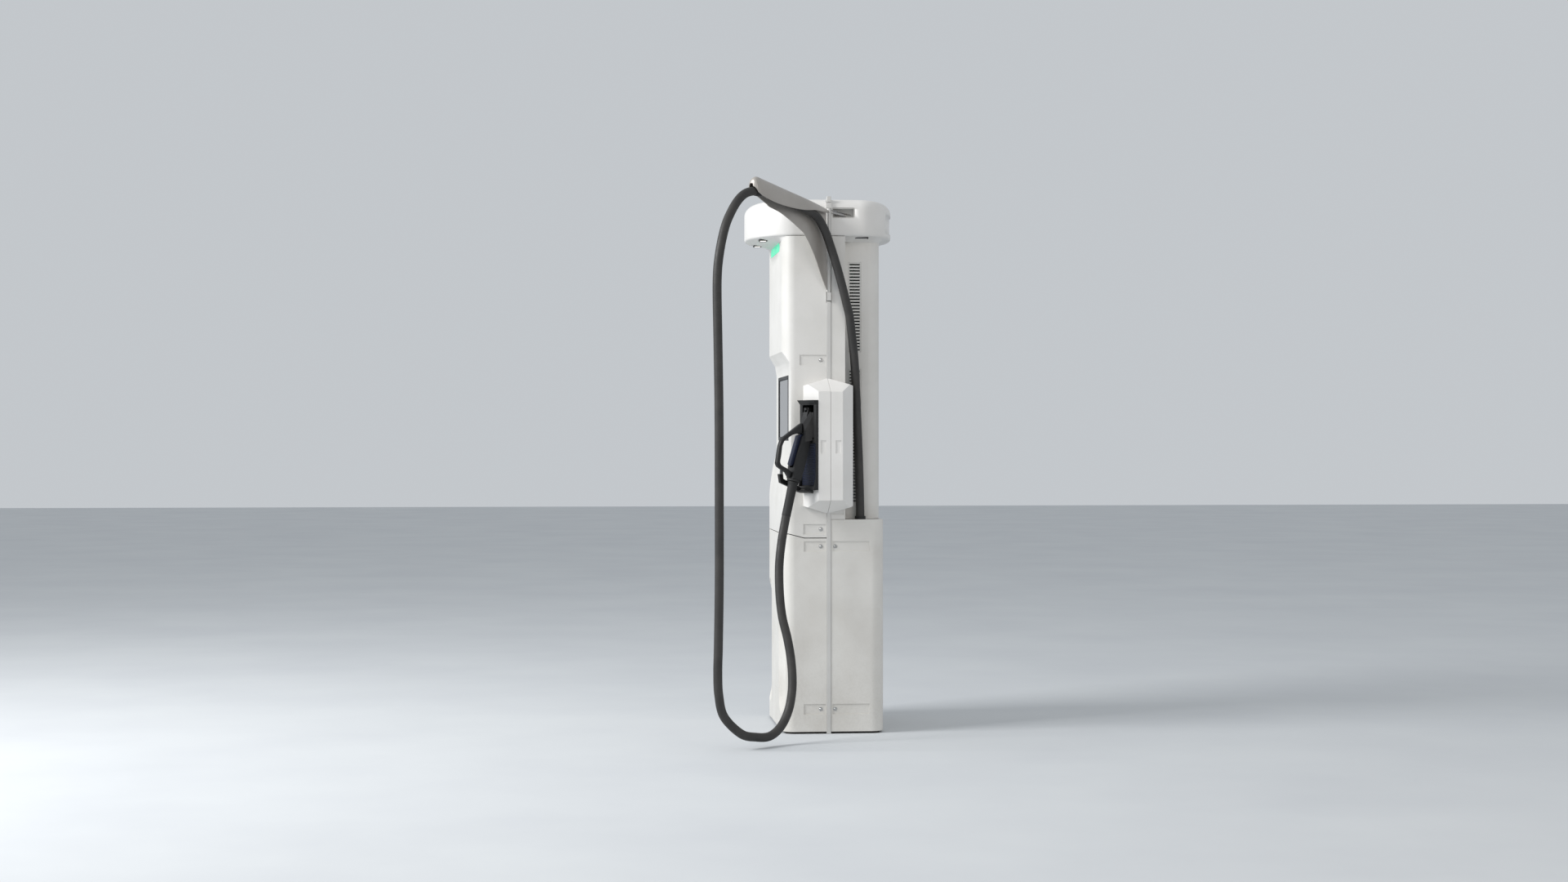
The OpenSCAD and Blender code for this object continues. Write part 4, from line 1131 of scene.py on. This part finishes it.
@dataclass
class SwingArm:
    """Cast hood and web on the hinge barrel: u runs out along the arm, v towards the cable."""

    angle: float = -45.0
    hinge_x: float = 300.0
    wall: float = 4.0
    lip_lift: float = 12.0
    hood: tuple[tuple[float, float, float, float], ...] = (
        (16, 1955, 1944, 18), (60, 1963, 1943, 34), (125, 1976, 1945, 46), (200, 1991, 1940, 52),
        (280, 2006, 1942, 56), (360, 2022, 1951, 58), (415, 2033, 1963, 58), (445, 2039.5, 1972, 56.4),
        (455, 2040, 1978, 52.6), (462, 2037.5, 1983.5, 47.4), (467, 2033.5, 1992, 43), (471, 2027, 2000, 32),
        (473.5, 2019, 2005.5, 17.8))
    web_low: tuple[tuple[float, float], ...] = (
        (12.2, 1656), (41, 1700), (92, 1790), (142, 1854), (173, 1874), (220, 1898), (280, 1924),
        (340, 1940), (357, 1947))

    @property
    def place(self) -> Matrix:
        """Frame of the arm in metres."""
        turn = Matrix.Rotation(math.radians(self.angle), 4, "Z")
        return Matrix.Translation((self.hinge_x * MM, 0, 0)) @ turn

    def hood_ring(self, station: Vector, width: float) -> list[Vector]:
        """One C-shaped section: inner half ellipse, round lips, outer half ellipse."""
        u, ridge, lip = station
        t = min(self.wall, (ridge - lip) / 3)
        n = 22
        middle = 26.0 if u > 400 else width / 2 - 3

        def arc(inset: float, order: Iterable[int]) -> list[Vector]:
            """Half ellipse inset by the wall."""
            points = []
            for i in order:
                across, up = math.cos(math.pi * i / n), math.sin(math.pi * i / n)
                rise = min(self.lip_lift, max(0.0, (u - 360) / 4)) * (1 + across) / 2 * (1 - up)
                points.append(self.place @ (Vector((u, middle - (width / 2 - inset) * across,
                                                    lip + rise + (ridge - lip - inset) * up)) * MM))
            return points

        inner, outer = arc(t, range(n + 1)), arc(0.0, range(n, -1, -1))
        down = Vector((0, 0, -t * 0.35 * MM))
        far_lip = (inner[-1] + outer[0]) / 2 + down
        near_lip = (inner[0] + outer[-1]) / 2 + down
        return inner + [far_lip] + outer + [near_lip]

    def build_hood(self) -> None:
        """Hood through smoothed stations."""
        stations = [Vector((u, ridge, lip)) for u, ridge, lip, _ in self.hood]
        widths = [Vector((w, 0, 0)) for *_, w in self.hood]
        rings = [self.hood_ring(s, w.x) for s, w in zip(catmull(stations, 7), catmull(widths, 7))]
        made = mesh_object("arm_hood_cast", *skin(rings))
        close_up(made)
        rounded(made, 1.2, 2, 55)
        dress(made, "arm_paint", "arm", "arm_hood")

    def build_web(self) -> None:
        """Web plate under the hood's inner lip."""
        low = catmull([Vector((u, 0, z)) for u, z in self.web_low], 6)
        top = [Vector((max(u, 12.2), 0, lip + 2.0)) for u, _, lip, _ in self.hood[:6]]
        top = catmull(top, 8)
        outline = [(p.x, p.z) for p in low] + [(p.x, p.z) for p in reversed(top)]
        made = prism("arm_web_cast", outline, -3.0, 1.0, self.place)
        rounded(made, 1.3, 2, 40)
        dress(made, "arm_paint", "arm", "arm_web")

    def build(self) -> None:
        """Hood, web, barrel, tail, saddles and the hinge's brackets."""
        self.build_hood()
        self.build_web()
        for node, width, slot in (("arm_barrel", 0.8, "strip_aluminium"), ("arm_tail", 0.6, "arm_steel"),
                                  ("arm_cable_clamp", 1.2, "clamp_black"),
                                  ("upper_hinge_bracket", 1.2, "strip_aluminium"),
                                  ("lower_hinge_bracket", 1.2, "strip_aluminium")):
            made = cad_copy(node)
            made.data.materials.append(FINISHES[slot].material())
            rounded(made, width, 2)
            dress(made, SLOT_OF[node], body_of(node), node)
        grip = catmull([Vector(p) * MM for p in CABLE.route], CABLE.per_span)
        line = grip[CABLE.cut - 4 : CABLE.cut + 5]

        def section(share: float, a: float) -> tuple[float, float]:
            """Point of the sleeve's ring, fuller at mid length than at its ends."""
            r = (16.4 + 1.6 * math.sin(math.pi * share) ** 0.4) * MM
            return (r * math.cos(a), r * math.sin(a))

        rings = sweep(line, section, 28)
        sleeve = mesh_object("cable_sleeve", *skin(rings, caps=False))
        smooth(sleeve, 60)
        dress(sleeve, "clamp_black", "arm")


# ---------------------------------------------------------------- holster


@dataclass
class Holster:
    """Pod in two halves, its black insert and the bracket under the connector's tail."""

    pod_edge: float = 7.0
    small_edge: float = 0.16
    stud_pitch: float = 6.5
    stud_foot: float = 2.7
    stud_tip: float = 0.9
    stud_rise: float = 2.2

    def pod(self) -> None:
        """Two halves that part at the seam, their outer corners well rounded."""
        for node in ("pod_front_half", "pod_rear_half"):
            made = cad_copy(node)
            weigh_edges(made, self.small_edge)
            rounded(made, self.pod_edge, 4, weighted=True)
            dress(made, "pod_white", "root", node)

    def pad(self) -> None:
        """Field of small pyramids on the insert's lower face, which keeps the connector from rattling."""
        corners = ((-1, -1), (1, -1), (1, 1), (-1, 1))
        unit = mesh_object("stud", *skin([
            [Vector((x * half * MM, y * half * MM, z * MM)) for x, y in corners]
            for half, z in ((self.stud_foot, 0.0), (self.stud_tip, self.stud_rise))]))
        close_up(unit)
        place = CONNECTOR.place.to_3x3() @ Matrix.Rotation(math.radians(90), 3, "Y")
        spots = []
        for row in range(24):
            for column in range(13):
                s = (column - 6) * self.stud_pitch
                z = 932 + row * self.stud_pitch
                spots.append((CONNECTOR.at(4.0, z, s), place.to_euler()))
        made = REPEATER.run("holster_pad_studs", unit, spots, "trigger_blue")
        dress(made, "trigger_blue", "root")

    def build(self) -> None:
        """Pod, insert, pad and bracket."""
        self.pod()
        for node, width in (("holster_insert", 1.4), ("holster_bracket", 2.0), ("cable_gland", 1.2)):
            made = cad_copy(node)
            rounded(made, width, 2)
            dress(made, SLOT_OF[node], "root", node)
        self.pad()


# ---------------------------------------------------------------- front panel and inside


@dataclass
class FrontPanel:
    """Screen and card reader in the recess of the front."""

    def build(self) -> None:
        """Bezel, glass and reader with soft edges."""
        for node, width in (("display_bezel", 2.0), ("display_glass", 0.8), ("card_reader", 2.0)):
            made = cad_copy(node)
            rounded(made, width, 2)
            dress(made, SLOT_OF[node], "root", node)


@dataclass
class Inside:
    """Frame and equipment behind the covers, which keep their CAD shape."""

    def build(self) -> None:
        """Give every CAD node that still shows its finish."""
        for name, obj in frame["nodes"].items():
            if obj.hide_render:
                continue
            finish = FINISHES[SLOT_OF[name]].material()
            obj.data.materials.clear()
            obj.data.materials.append(finish)
            log.info("%s keeps its shape with %s", name, finish.name)


CONNECTOR = Connector()
CABLE = ChargingCable()
REPEATER = Repeater()


def main() -> None:
    """Build the studio and every sub-assembly in order."""
    logging.basicConfig(level=logging.INFO, format="%(name)s: %(message)s")
    studio = Studio()
    studio.camera()
    CONNECTOR.build()
    CABLE.build()
    Cabinet().build()
    Heads().build()
    SwingArm().build()
    Holster().build()
    FrontPanel().build()
    Inside().build()
    studio.floor()
    studio.lights()


if __name__ == "__main__":
    main()
